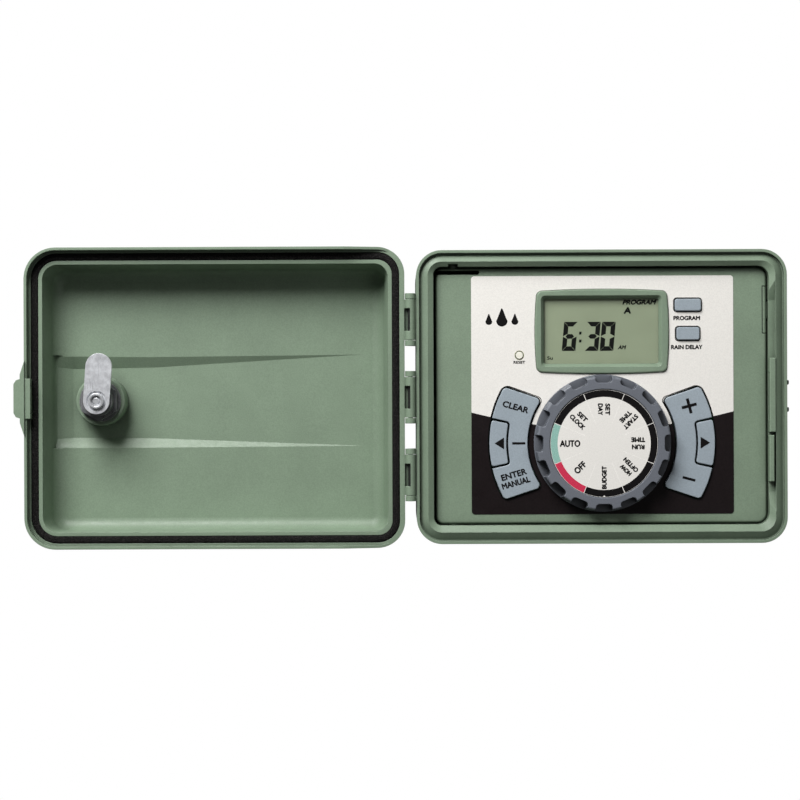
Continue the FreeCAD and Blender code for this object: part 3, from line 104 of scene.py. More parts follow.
# ---- material building ----------------------------------------------------
class Shader:
    """A principled material with short calls for the nodes used here."""

    def __init__(self, name, roughness=0.5, metallic=0.0, specular=0.5):
        self.material = bpy.data.materials.new(name)
        self.material.use_nodes = True
        self.nodes = self.material.node_tree.nodes
        self.links = self.material.node_tree.links
        self.bsdf = self.nodes["Principled BSDF"]
        self.bsdf.inputs["Roughness"].default_value = roughness
        self.bsdf.inputs["Metallic"].default_value = metallic
        self.bsdf.inputs["Specular IOR Level"].default_value = specular
        self.coords = self.nodes.new("ShaderNodeTexCoord").outputs["Object"]

    def link(self, source, target):
        self.links.new(source, target)

    def stretched(self, scale):
        """Object coordinates scaled along each axis."""
        mapping = self.nodes.new("ShaderNodeMapping")
        mapping.inputs["Scale"].default_value = scale
        self.link(self.coords, mapping.inputs["Vector"])
        return mapping.outputs["Vector"]

    def noise(self, per_metre, detail=3.0, roughness=0.5, vector=None):
        node = self.nodes.new("ShaderNodeTexNoise")
        node.inputs["Scale"].default_value = per_metre
        node.inputs["Detail"].default_value = detail
        node.inputs["Roughness"].default_value = roughness
        self.link(vector or self.coords, node.inputs["Vector"])
        return node.outputs["Fac"]

    def remap(self, value, from_low, from_high, to_low, to_high):
        node = self.nodes.new("ShaderNodeMapRange")
        node.inputs["From Min"].default_value = from_low
        node.inputs["From Max"].default_value = from_high
        node.inputs["To Min"].default_value = to_low
        node.inputs["To Max"].default_value = to_high
        self.link(value, node.inputs["Value"])
        return node.outputs["Result"]

    def maths(self, operation, a, b=0.0):
        node = self.nodes.new("ShaderNodeMath")
        node.operation = operation
        for socket, value in ((node.inputs[0], a), (node.inputs[1], b)):
            if isinstance(value, (int, float)):
                socket.default_value = value
            else:
                self.link(value, socket)
        return node.outputs[0]

    def mix(self, factor, colour_a, colour_b, blend="MIX"):
        node = self.nodes.new("ShaderNodeMix")
        node.data_type = "RGBA"
        node.blend_type = blend
        sockets = (node.inputs[0], node.inputs[6], node.inputs[7])
        for socket, value in zip(sockets, (factor, colour_a, colour_b)):
            if isinstance(value, (int, float, tuple)):
                socket.default_value = value
            else:
                self.link(value, socket)
        return node.outputs[2]

    def grey(self, value):
        """Grey colour of a brightness."""
        node = self.nodes.new("ShaderNodeCombineColor")
        for socket in node.inputs[:3]:
            self.link(value, socket)
        return node.outputs[0]

    def edge_mask(self, radius_mm):
        """0 on flats, towards 1 where a rounded edge would turn away from the face."""
        bevel = self.nodes.new("ShaderNodeBevel")
        bevel.samples = 4
        bevel.inputs["Radius"].default_value = radius_mm * MM
        geometry = self.nodes.new("ShaderNodeNewGeometry")
        dot = self.nodes.new("ShaderNodeVectorMath")
        dot.operation = "DOT_PRODUCT"
        self.link(bevel.outputs["Normal"], dot.inputs[0])
        self.link(geometry.outputs["Normal"], dot.inputs[1])
        return self.remap(dot.outputs["Value"], 0.99, 0.8, 0.0, 1.0), bevel.outputs["Normal"]

    def painted_shade_mask(self, reach_mm):
        """Mask for painted shade: 1 in the open, falling towards 0 deep in corners and gaps."""
        node = self.nodes.new("ShaderNodeAmbientOcclusion")
        node.samples = 6
        node.inputs["Distance"].default_value = reach_mm * MM
        return self.remap(node.outputs["AO"], 0.3, 0.92, 0.0, 1.0)

    def bump(self, height, distance_mm, strength=1.0, normal=None):
        node = self.nodes.new("ShaderNodeBump")
        node.inputs["Distance"].default_value = distance_mm * MM
        node.inputs["Strength"].default_value = strength
        self.link(height, node.inputs["Height"])
        if normal is not None:
            self.link(normal, node.inputs["Normal"])
        self.link(node.outputs["Normal"], self.bsdf.inputs["Normal"])

    def colour(self, source):
        socket = self.bsdf.inputs["Base Color"]
        if isinstance(source, tuple):
            socket.default_value = source
        else:
            self.link(source, socket)

    def roughness(self, source):
        self.link(source, self.bsdf.inputs["Roughness"])


def scaled(rgba, factor):
    return (rgba[0] * factor, rgba[1] * factor, rgba[2] * factor, 1.0)


GRAIN_MM = 0.75
# painted shade: share of the colour left deep in recesses, and how far the shade reaches
RECESS_SHADE, RECESS_REACH_MM = 0.42, 9.0


def moulded(name, rgb, edge_rgb=None, roughness=0.5, depth_mm=0.03, edge_mm=0.5, wear_and_sheen=0.45):
    """Injection-moulded plastic: fine grain, faint flow clouding, lighter edges that are partly wear and
    partly a painted highlight, and painted shade in recesses.
    """
    s = Shader(name, roughness)
    base = linear(rgb)
    cloud = s.noise(35, detail=4)
    speck = s.noise(1000 / GRAIN_MM, detail=2)
    tone = s.mix(s.remap(cloud, 0.3, 0.7, 0.0, 1.0), scaled(base, 0.94), scaled(base, 1.05))
    lighter = s.mix(1.0, tone, (1.15, 1.15, 1.15, 1.0), "MULTIPLY")
    tone = s.mix(s.remap(speck, 0.35, 0.65, 0.0, 1.0), tone, lighter)
    # painted shade: the colour darkens in corners, creases and gaps, where shade falls
    painted_recess_shade = s.remap(s.painted_shade_mask(RECESS_REACH_MM), 0.0, 1.0, RECESS_SHADE, 1.0)
    tone = s.mix(1.0, tone, s.grey(painted_recess_shade), "MULTIPLY")
    # painted highlight with wear: edges are lightened in colour towards edge_tone, varied by a scuff noise
    edge, rounded = s.edge_mask(edge_mm)
    edge_tone = linear(edge_rgb) if edge_rgb else scaled(base, 1.5)
    wear_and_sheen_mask = s.maths("MULTIPLY", edge, s.remap(s.noise(160), 0.3, 0.7, wear_and_sheen * 0.6, wear_and_sheen))
    s.colour(s.mix(wear_and_sheen_mask, tone, edge_tone))
    s.roughness(s.remap(s.noise(420, detail=3), 0.3, 0.7, roughness - 0.06, roughness + 0.08))
    s.bump(speck, depth_mm, 0.6, rounded)
    return s.material


def ink(name, rgb, roughness=0.55):
    """Screen-printed ink with slightly uneven coverage."""
    s = Shader(name, roughness, specular=0.15)
    base = linear(rgb)
    s.colour(s.mix(s.remap(s.noise(1800), 0.35, 0.7, 0, 1), scaled(base, 0.85), scaled(base, 1.25)))
    s.bump(s.noise(2500), 0.01, 0.4)
    return s.material


def faceplate_print():
    """Off-white sheet whose lower part is printed dark, its border a shallow dip towards the dial."""
    s = Shader("faceplate_sheet", 0.45, specular=0.15)
    split = s.nodes.new("ShaderNodeSeparateXYZ")
    s.link(s.coords, split.inputs[0])
    across = s.maths("SUBTRACT", split.outputs["X"], DIAL_X * MM)
    sag = s.maths("MULTIPLY", s.maths("MULTIPLY", across, across), BORDER_SAG_PER_M)
    border = s.maths("ADD", sag, (DIAL_Z + BORDER_RISE) * MM)
    above = s.maths("SUBTRACT", split.outputs["Z"], border)
    light = s.remap(above, -INK_THICK * MM, INK_THICK * MM, 0.0, 1.0)
    grain = s.remap(s.noise(1600, detail=2), 0.35, 0.65, 0.0, 1.0)
    white = s.mix(grain, scaled(linear(OFF_WHITE), 0.95), scaled(linear(OFF_WHITE), 1.03))
    black = s.mix(grain, scaled(linear(PRINT_BLACK), 0.8), scaled(linear(PRINT_BLACK), 1.2))
    s.colour(s.mix(light, black, white))
    s.roughness(s.remap(s.noise(90), 0.3, 0.7, 0.38, 0.5))
    s.bump(s.noise(2600), 0.012, 0.5)
    return s.material


def dial_paper():
    """Off-white printed disc under the dial's words."""
    s = Shader("dial_paper", 0.5)
    grain = s.remap(s.noise(1500), 0.35, 0.65, 0, 1)
    s.colour(s.mix(grain, scaled(linear(OFF_WHITE), 0.94), scaled(linear(OFF_WHITE), 1.02)))
    s.bump(s.noise(2400), 0.01, 0.4)
    return s.material


def foam():
    """Open-cell black foam."""
    s = Shader("black_foam", 0.95, specular=0.15)
    cells = s.nodes.new("ShaderNodeTexVoronoi")
    cells.inputs["Scale"].default_value = 1600
    s.link(s.coords, cells.inputs["Vector"])
    speck = s.noise(2200, detail=4)
    s.colour(s.mix(s.remap(speck, 0.5, 0.75, 0, 1), (0.006, 0.006, 0.006, 1), (0.07, 0.062, 0.06, 1)))
    s.bump(cells.outputs["Distance"], 0.5, 1.0)
    return s.material


def zinc_plate(name, roughness=0.2, shade=1.0):
    """Bright zinc plate: faint cloudy patches, brushed scratches and edges mixed towards light grey; shade
    darkens the whole plate as painted shade.
    """
    s = Shader(name, roughness, metallic=0.45)
    patches = s.noise(260, detail=5, roughness=0.6)
    # painted shade: shade darkens the whole zinc colour of parts that are to look shadowed
    base = scaled(linear(ZINC), shade)
    tone = s.mix(s.remap(patches, 0.35, 0.65, 0, 1), scaled(base, 0.72), scaled(base, 1.05))
    edge, rounded = s.edge_mask(0.3)
    s.colour(s.mix(s.maths("MULTIPLY", edge, 0.5), tone, (0.9, 0.9, 0.9, 1)))
    scratch = s.noise(900, detail=5, vector=s.stretched((1.0, 1.0, 0.08)))
    s.roughness(s.remap(scratch, 0.3, 0.75, roughness - 0.04, roughness + 0.08))
    s.bump(s.noise(700, detail=5), 0.02, 0.4, rounded)
    return s.material


def steel(name):
    """Plated steel of screws and the cell."""
    s = Shader(name, 0.35, metallic=1.0)
    s.colour(s.mix(s.noise(500), (0.42, 0.42, 0.43, 1), (0.62, 0.62, 0.63, 1)))
    s.roughness(s.remap(s.noise(900, detail=4), 0.3, 0.7, 0.28, 0.48))
    edge, rounded = s.edge_mask(0.2)
    s.bump(s.noise(1800), 0.01, 0.5, rounded)
    return s.material


def lcd_back():
    """Grey-green reflector seen behind the display's digits."""
    s = Shader("lcd_reflector", 0.35)
    cloud = s.noise(60, detail=2)
    fine = s.noise(3000, detail=1)
    green = linear(LCD_GREEN)
    base = s.mix(s.remap(cloud, 0.3, 0.7, 0, 1), scaled(green, 0.95), scaled(green, 1.05))
    s.colour(s.mix(s.remap(fine, 0.3, 0.7, 0, 0.12), base, scaled(green, 1.3)))
    s.bump(fine, 0.004, 0.3)
    return s.material


def clear_lens():
    """Clear window: mostly see-through, with a weak reflection."""
    s = Shader("lens_clear", 0.08)
    s.colour((0.02, 0.02, 0.02, 1))
    s.roughness(s.remap(s.noise(300, detail=3), 0.3, 0.7, 0.05, 0.12))
    clear = s.nodes.new("ShaderNodeBsdfTransparent")
    blend = s.nodes.new("ShaderNodeMixShader")
    blend.inputs[0].default_value = 0.06
    output = s.nodes["Material Output"]
    s.link(clear.outputs[0], blend.inputs[1])
    s.link(s.bsdf.outputs[0], blend.inputs[2])
    s.link(blend.outputs[0], output.inputs["Surface"])
    s.bump(s.noise(900), 0.002, 0.2)
    return s.material


def circuit_board():
    """Green solder mask with a pattern of tracks under it."""
    s = Shader("solder_mask", 0.35)
    tracks = s.nodes.new("ShaderNodeTexBrick")
    tracks.inputs["Scale"].default_value = 160
    tracks.inputs["Mortar Size"].default_value = 0.05
    turned = s.nodes.new("ShaderNodeMapping")
    turned.inputs["Rotation"].default_value = (math.pi / 2, 0, 0)
    s.link(s.coords, turned.inputs["Vector"])
    s.link(turned.outputs["Vector"], tracks.inputs["Vector"])
    s.colour(s.mix(tracks.outputs["Fac"], (0.012, 0.09, 0.035, 1), (0.03, 0.19, 0.07, 1)))
    s.bump(tracks.outputs["Fac"], 0.03, 0.6)
    return s.material


def striped(name, rgb_a, rgb_b, per_metre, axis_scale, roughness=0.5, depth_mm=0.1, metallic=0.0):
    """Parallel ridges: laminations, wound tape or flat-cable cores."""
    s = Shader(name, roughness, metallic=metallic)
    wave = s.nodes.new("ShaderNodeTexWave")
    wave.inputs["Scale"].default_value = per_metre
    wave.inputs["Distortion"].default_value = 0.4
    s.link(s.stretched(axis_scale), wave.inputs["Vector"])
    s.colour(s.mix(wave.outputs["Fac"], linear(rgb_a), linear(rgb_b)))
    s.roughness(s.remap(s.noise(500), 0.3, 0.7, roughness - 0.05, roughness + 0.1))
    s.bump(wave.outputs["Fac"], depth_mm, 0.8)
    return s.material


def floor_material():
    """Pale floor that looks evenly lit to the camera but throws no light on the object."""
    s = Shader("studio_floor", 0.9)
    pale = s.mix(s.noise(4, detail=2), (0.78, 0.78, 0.77, 1), (0.84, 0.84, 0.83, 1))
    s.colour(pale)
    s.link(pale, s.bsdf.inputs["Emission Color"])
    camera_ray = s.nodes.new("ShaderNodeLightPath").outputs["Is Camera Ray"]
    s.link(s.maths("MULTIPLY", camera_ray, 0.55), s.bsdf.inputs["Emission Strength"])
    return s.material


# ---- pieces made here -----------------------------------------------------
def add_mesh(name, vertices_mm, faces, material, body, smooth=False):
    mesh = bpy.data.meshes.new(name)
    mesh.from_pydata([tuple(c * MM for c in v) for v in vertices_mm], [], faces)
    mesh.validate()
    mesh.materials.append(material)
    if smooth:
        for polygon in mesh.polygons:
            polygon.use_smooth = True
    obj = bpy.data.objects.new(name, mesh)
    bpy.context.scene.collection.objects.link(obj)
    if body:
        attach(obj, body)
    return obj


def flat_prisms(name, outlines, front_y, thickness, material, body):
    """Thin printed shapes: each outline is a list of (x, z) in mm, drawn anticlockwise from the front."""
    vertices, faces = [], []
    for outline in outlines:
        start, count = len(vertices), len(outline)
        vertices += [(x, front_y, z) for x, z in outline]
        vertices += [(x, front_y + thickness, z) for x, z in outline]
        faces.append(list(range(start, start + count)))
        faces.append(list(range(start + 2 * count - 1, start + count - 1, -1)))
        for i in range(count):
            j = (i + 1) % count
            faces.append([start + j, start + i, start + count + i, start + count + j])
    return add_mesh(name, vertices, faces, material, body)


def turned_about(points, cx, cz, degrees):
    """Turn points anticlockwise about the origin, then move them to (cx, cz)."""
    a = math.radians(degrees)
    out = []
    for x, z in points:
        out.append((cx + x * math.cos(a) - z * math.sin(a), cz + x * math.sin(a) + z * math.cos(a)))
    return out


def bar(length, width):
    x, z = length / 2, width / 2
    return [(-x, -z), (x, -z), (x, z), (-x, z)]


def lettering(name, words, centre, size, face_y, material, body, turn=0.0, slant=0.0, weight=0.0):
    """One line of letters in the built-in typeface, stretched to a size of (width, height) in mm.

    Weight thickens every stroke: the line is struck five times, each moved by weight mm.
    """
    curve = bpy.data.curves.new(name, "FONT")
    curve.body = words
    curve.shear = slant
    curve.resolution_u = 4
    curve.extrude = 0.02
    text = bpy.data.objects.new(name + "_curve", curve)
    bpy.context.scene.collection.objects.link(text)
    bpy.context.view_layer.update()
    mesh = bpy.data.meshes.new_from_object(text.evaluated_get(bpy.context.evaluated_depsgraph_get()))
    bpy.data.objects.remove(text)
    width, height = size
    xs = [v.co.x for v in mesh.vertices]
    ys = [v.co.y for v in mesh.vertices]
    a = math.radians(turn)
    strikes = [(0, 0)]
    if weight:
        strikes += [(weight, 0), (-weight, 0), (0, weight), (0, -weight)]
    vertices, faces = [], []
    for n, (dx, dz) in enumerate(strikes):
        first = len(vertices)
        for v in mesh.vertices:
            x = ((v.co.x - min(xs)) / (max(xs) - min(xs)) - 0.5) * (width - 2 * weight) + dx
            z = ((v.co.y - min(ys)) / (max(ys) - min(ys)) - 0.5) * (height - 2 * weight) + dz
            depth = face_y - INK_THICK - 0.002 * n if v.co.z > 0 else face_y + 0.01
            vertices.append((centre[0] + x * math.cos(a) - z * math.sin(a), depth,
                             centre[1] + x * math.sin(a) + z * math.cos(a)))
        faces += [[first + i for i in polygon.vertices] for polygon in mesh.polygons]
    bpy.data.meshes.remove(mesh)
    return add_mesh(name, vertices, faces, material, body)


# ---- dial print -----------------------------------------------------------
DISC_R, BAND_R = 29.0, 33.2
# words of each setting, clockwise from the top, as (line, width, height) in mm
SETTINGS = (
    (("SET", 7.4, 3.1), ("DAY", 7.4, 3.1)),
    (("START", 11.4, 3.1), ("TIME", 8.8, 3.1)),
    (("RUN", 7.9, 3.1), ("TIME", 8.8, 3.1)),
    (("HOW", 8.4, 3.1), ("OFTEN", 11.4, 3.1)),
    (("BUDGET", 14.4, 3.1),),
    (("OFF", 8.4, 4.2),),
    (("AUTO", 12.8, 4.3),),
    (("SET", 7.4, 3.1), ("CLOCK", 11.8, 3.1)),
)
WORD_RADIUS, LINE_PITCH = 21.2, 4.5
SPOKE_RADIUS, SPOKE_LENGTH, SPOKE_WIDTH = 20.5, 15.0, 0.28
OFF_SETTING, AUTO_SETTING = 5, 6


def around_dial(radius, clockwise_degrees):
    a = math.radians(clockwise_degrees)
    return DIAL_X + radius * math.sin(a), DIAL_Z + radius * math.cos(a)


def ring_sector(r0, r1, a0, a1, steps=14):
    """Closed outline of part of a ring, angles clockwise from the top."""
    angles = [a0 + (a1 - a0) * i / steps for i in range(steps + 1)]
    outer = [around_dial(r1, a) for a in reversed(angles)]
    return outer + [around_dial(r0, a) for a in angles]


def dial_print(inks):
    gap = 0.45
    for i, lines in enumerate(SETTINGS):
        middle = 45.0 * i
        key = {OFF_SETTING: "red", AUTO_SETTING: "mint"}.get(i, "black")
        arc = ring_sector(DISC_R, BAND_R, middle - 22.5 + gap, middle + 22.5 - gap)
        flat_prisms(f"dial_band_{i}", [arc], DIAL_FACE - INK_THICK, INK_THICK, inks[key], "dial")
        turn = 270.0 - middle
        for n, (word, width, height) in enumerate(lines):
            offset = (len(lines) - 1) / 2 - n
            x, z = around_dial(WORD_RADIUS, middle)
            a = math.radians(turn)
            x -= math.sin(a) * offset * LINE_PITCH
            z += math.cos(a) * offset * LINE_PITCH
            name, size, black = f"dial_word_{i}_{n}", (width, height), inks["black"]
            lettering(name, word, (x, z), size, DIAL_FACE, black, "dial", turn, weight=0.23)
    spokes = []
    for i in range(8):
        angle = 45.0 * i + 22.5
        x, z = around_dial(SPOKE_RADIUS, angle)
        spokes.append(turned_about(bar(SPOKE_LENGTH, SPOKE_WIDTH), x, z, 90 - angle))
    flat_prisms("dial_spokes", spokes, DIAL_FACE - 0.02, 0.02, inks["pale"], "dial")
    tick = [around_dial(BAND_R, 178.6), around_dial(BAND_R - 0.9, 180), around_dial(BAND_R, 181.4)]
    flat_prisms("dial_tick", [tick], DIAL_FACE - INK_THICK - 0.02, INK_THICK, inks["pale"], "dial")


# ---- keys and faceplate print ---------------------------------------------
# curved key holes: radii in mm and half angles in degrees about the dial's centre
ROCKER_IN, ROCKER_OUT = 46.9, 70.8
ROCKER_ANGLE_IN, ROCKER_ANGLE_OUT = 35.9, 29.9
# key hole gap and corner, then the painted shade band round each key: its width on the plate and its
# overhang over the gap
KEY_HOLE, KEY_CORNER, OUTLINE_W, OUTLINE_OVERHANG = 0.95, 2.6, 0.3, 0.25
# a small button's hidden flange: its corner radius, and how far it reaches past the outline's outer edge
FLANGE_CORNER, FLANGE_REACH = 2.7, 0.35
FLANGE_STEP = 0.6


ARROW_RADIUS = 64.6


def by_dial(right, up):
    """Place on the front given from the dial's centre, in mm."""
    return DIAL_X + right, DIAL_Z + up


# words on the left curved key: place from the dial's centre, size and turn in degrees
LEFT_KEY_WORDS = (
    ("word_clear", "CLEAR", (-54.3, 22.8), (16.8, 4.0), -16),
    ("word_enter", "ENTER", (-55.6, -19.6), (16.4, 4.0), 16),
    ("word_manual", "MANUAL", (-54.3, -24.8), (18.2, 4.0), 16),
)
# strokes on the curved keys: body, place from the dial's centre, length, width and turn
KEY_STROKES = (
    ("index_line", "left_rocker", (-52.5, 0.0), 8.2, 1.4, 0),
    ("plus_sign", "right_rocker", (54.6, 23.1), 9.6, 1.8, 15),
    ("plus_sign_upright", "right_rocker", (54.6, 23.1), 9.6, 1.8, 105),
    ("minus_sign", "right_rocker", (54.3, -22.7), 8.2, 1.6, -15),
)


def key_print(inks):
    black = inks["black"]
    for name, word, place, size, turn in LEFT_KEY_WORDS:
        lettering(name, word, by_dial(*place), size, KEY_FACE, black, "left_rocker", turn, weight=0.21)
    line_y = KEY_FACE - INK_THICK
    for name, body, place, length, width, turn in KEY_STROKES:
        front = line_y - 0.004 if name == "plus_sign_upright" else line_y
        stroke = turned_about(bar(length, width), *by_dial(*place), turn)
        flat_prisms(name, [stroke], front, INK_THICK, black, body)
    for side, body in ((-1, "left_arrow_key"), (1, "right_arrow_key")):
        x = DIAL_X + side * ARROW_RADIUS
        arrow = [(x + side * 3.0, DIAL_Z), (x - side * 2.9, DIAL_Z + 3.7), (x - side * 2.9, DIAL_Z - 3.7)]
        if side < 0:
            arrow.reverse()
        arrow.reverse()
        flat_prisms(body + "_mark", [arrow], line_y, INK_THICK, black, body)


def sector_path(side, grow, corner_r):
    """Points round a curved key's aperture, grown outwards, with rounded corners."""
    r0, r1 = ROCKER_IN - grow, ROCKER_OUT + grow
    a0 = math.radians(ROCKER_ANGLE_IN) + grow / ROCKER_IN
    a1 = math.radians(ROCKER_ANGLE_OUT) + grow / ROCKER_OUT

    def polar(r, a):
        return DIAL_X + side * r * math.cos(a), DIAL_Z + r * math.sin(a)

    def bend(before, corner, after):
        """Five points of a smooth turn at a corner."""
        out = []
        for k in range(5):
            t = k / 4
            # these weights bend the curve into a circular arc
            weights = ((1 - t) ** 2, 2 * t * (1 - t) * math.sqrt(0.5), t ** 2)
            total = sum(weights)
            pulls = list(zip(weights, (before, corner, after)))
            out.append(tuple(sum(w * p[i] for w, p in pulls) / total for i in (0, 1)))
        return out

    d0, d1 = corner_r / r0, corner_r / r1
    slope = (a1 - a0) / (r1 - r0)
    points = []
    for up in (1, -1):
        end_in = polar(r0 + corner_r, up * (a0 + slope * corner_r))
        end_out = polar(r1 - corner_r, up * (a1 - slope * corner_r))
        inner = bend(polar(r0, up * (a0 - d0)), polar(r0, up * a0), end_in)
        outer = bend(end_out, polar(r1, up * a1), polar(r1, up * (a1 - d1)))
        if up > 0:
            points += inner + outer
            points += [polar(r1, (a1 - d1) * (1 - k / 8)) for k in range(1, 16)]
        else:
            points += outer[::-1] + inner[::-1]
            points += [polar(r0, -(a0 - d0) * (1 - k / 8)) for k in range(1, 16)]
    return points


def gap_shade_ring(name, inner, outer, material):
    """Painted shade band between two matching closed paths, laid on the faceplate's face."""
    quads = []
    for i in range(len(inner)):
        j = (i + 1) % len(inner)
        quad = [inner[i], outer[i], outer[j], inner[j]]
        (ax, az), (bx, bz), (cx, cz), (dx, dz) = quad
        area = (cx - ax) * (dz - bz) - (dx - bx) * (cz - az)
        quads.append(quad if area > 0 else quad[::-1])
    flat_prisms(name, quads, PLATE_FACE - INK_THICK / 2, INK_THICK / 2, material, "swing_panel")


def key_outlines(inks):
    """Painted shade: a black band round every key, reaching over the edge of its gap where the gap's shade
    falls.
    """
    for side, name in ((-1, "left"), (1, "right")):
        hole_corner = KEY_CORNER + KEY_HOLE
        inner = sector_path(side, KEY_HOLE - OUTLINE_OVERHANG, hole_corner - OUTLINE_OVERHANG)
        outer = sector_path(side, KEY_HOLE + OUTLINE_W, hole_corner + OUTLINE_W)
        gap_shade_ring(name + "_key_outline", inner, outer, inks["black"])
    for node in ("program_button", "rain_delay_button"):
        low, high = box_mm(node)
        flange = rounded_path(low.x, high.x, low.z, high.z, FLANGE_CORNER, FLANGE_CORNER, FLANGE_STEP)
        inset = FLANGE_REACH + OUTLINE_W
        outer = [(x - nx * FLANGE_REACH, z - nz * FLANGE_REACH) for x, z, nx, nz in flange]
        inner = [(x - nx * inset, z - nz * inset) for x, z, nx, nz in flange]
        gap_shade_ring(node + "_outline", inner, outer, inks["black"])


def drop_outline(cx, cz, height):
    """Water drop: a round belly drawn up to a point."""
    r = height * 0.31
    points = []
    for i in range(33):
        t = 2 * math.pi * i / 32
        x = r * math.sin(t)
        z = -r * math.cos(t)
        if z > 0:
            lift = z / r
            x *= 1 - lift * 0.55
            z = z * (1 + lift * 1.23)
        points.append((cx + x, cz + z - height * 0.19))
    return points[:-1]


# words under the small keys: key, place from the key's centre, size and stroke weight
BUTTON_WORDS = (
    ("word_program", "PROGRAM", "program_button", (-0.6, -8.3), (16.8, 2.8), 0.19),
    ("word_rain_delay", "RAIN DELAY", "rain_delay_button", (-0.6, -8.5), (19.8, 2.8), 0.19),
    ("word_reset", "RESET", "reset_button", (0.0, -4.4), (7.4, 1.8), 0.1),
)
# emblem of three drops: distance in from the plate's left and top edges, heights and spacing
EMBLEM_IN, BIG_DROP, SMALL_DROP, DROP_PITCH, DROP_LOWER = (19.3, 25.9), 11.5, 7.0, 8.2, 1.2
RESET_RING = (2.8, 3.0)


def faceplate_marks(inks):
    black = inks["black"]
    key_outlines(inks)
    for name, word, node, drop, size, weight in BUTTON_WORDS:
        x, z = centre_mm(node)
        place = (x + drop[0], z + drop[1])
        lettering(name, word, place, size, PLATE_FACE, black, "swing_panel", weight=weight)
    cx, cz = PLATE_LOW.x + EMBLEM_IN[0], PLATE_HIGH.z - EMBLEM_IN[1]
    drops = [drop_outline(cx, cz, BIG_DROP)]
    for side in (-1, 1):
        drops.append(drop_outline(cx + side * DROP_PITCH, cz - DROP_LOWER, SMALL_DROP))
    flat_prisms("drop_emblem", drops, PLATE_FACE - INK_THICK, INK_THICK, black, "swing_panel")
    cx, cz = centre_mm("reset_button")
    count, (r0, r1) = 28, RESET_RING
    ring = []
    for i in range(count):
        a0, a1 = 2 * math.pi * i / count, 2 * math.pi * (i + 1) / count
        corners = ((r0, a0), (r1, a0), (r1, a1), (r0, a1))
        ring.append([(cx + r * math.cos(a), cz + r * math.sin(a)) for r, a in corners])
    thick = INK_THICK / 2
    flat_prisms("reset_ring", ring, PLATE_FACE - thick, thick, inks["olive"], "swing_panel")


# ---- display segments -----------------------------------------------------
DIGIT_W, DIGIT_H, STROKE, LEAN = 8.6, 18.3, 2.9, 0.09
LIT = {"6": "afgedc", "3": "abgcd", "0": "abcdef"}


def segment_outlines(digit, left, bottom):
    """Lit bars of a seven-segment digit, with pointed ends and a forward lean."""
    w, h, t = DIGIT_W, DIGIT_H, STROKE
    gap = 0.14

    def across(z, inward):
        """Horizontal bar: inward -1 tapers down, 1 tapers up, 0 both ways."""
        if inward == 0:
            return [(gap + t / 2, z), (t, z - t / 2), (w - t, z - t / 2), (w - gap - t / 2, z),
                    (w - t, z + t / 2), (t, z + t / 2)]
        far = z + inward * t
        points = [(gap, z), (w - gap, z), (w - t, far), (t, far)]
        return points if inward > 0 else points[::-1]

    def upright(x, inward, z0, z1):
        inner = x + inward * t
        points = [(x, z0), (inner, z0 + (t if z0 < h / 4 else t / 2)),
                  (inner, z1 - (t if z1 > 3 * h / 4 else t / 2)), (x, z1)]
        return points if inward > 0 else points[::-1]

    shapes = {
        "a": across(h, -1), "g": across(h / 2, 0), "d": across(0, 1),
        "f": upright(0, 1, h / 2 + gap, h - gap), "e": upright(0, 1, gap, h / 2 - gap),
        "b": upright(w, -1, h / 2 + gap, h - gap), "c": upright(w, -1, gap, h / 2 - gap),
    }
    out = []
    for name in LIT[digit]:
        out.append([(left + x + LEAN * z, bottom + z) for x, z in shapes[name]])
    return out


SEGMENT_THICK = 0.03
DIGITS_BELOW = 12.3
# each digit's left edge and each word's place, from the screen's centre
CLOCK_DIGITS = (("6", -24.7), ("3", -10.3), ("0", -0.8))
COLON_LEFT, COLON_LEAN, COLON_RISES = 13.14, 0.009, (6.2, 11.2)
SCREEN_WORDS = (
    ("lcd_program", "PROGRAM", (24.4, 18.3), (21.6, 3.3), 0.3, 0.26),
    ("lcd_a", "A", (16.7, 13.1), (4.8, 4.4), 0.1, 0.34),
    ("lcd_am", "AM", (13.3, -10.1), (5.4, 2.6), 0.3, 0.16),
    ("lcd_day", "Su", (-32.1, -16.7), (3.6, 2.2), 0.0, 0.1),
)


def display_print(inks):
    y = GLASS_FACE - SEGMENT_THICK
    black, body = inks["segment"], "swing_panel"
    bottom = SCREEN_Z - DIGITS_BELOW
    for n, (digit, left) in enumerate(CLOCK_DIGITS):
        bars = segment_outlines(digit, SCREEN_X + left, bottom)
        flat_prisms(f"clock_digit_{n}", bars, y, SEGMENT_THICK, black, body)
    dots = []
    for rise in COLON_RISES:
        x, z = SCREEN_X - COLON_LEFT + COLON_LEAN * rise, bottom + rise
        dots.append([(x - 0.75, z - 0.9), (x + 0.75, z - 0.9), (x + 0.95, z + 0.9), (x - 0.55, z + 0.9)])
    flat_prisms("clock_colon", dots, y, SEGMENT_THICK, black, body)
    for name, word, (right, up), size, slant, weight in SCREEN_WORDS:
        place = (SCREEN_X + right, SCREEN_Z + up)
        lettering(name, word, place, size, GLASS_FACE, black, body, slant=slant, weight=weight)


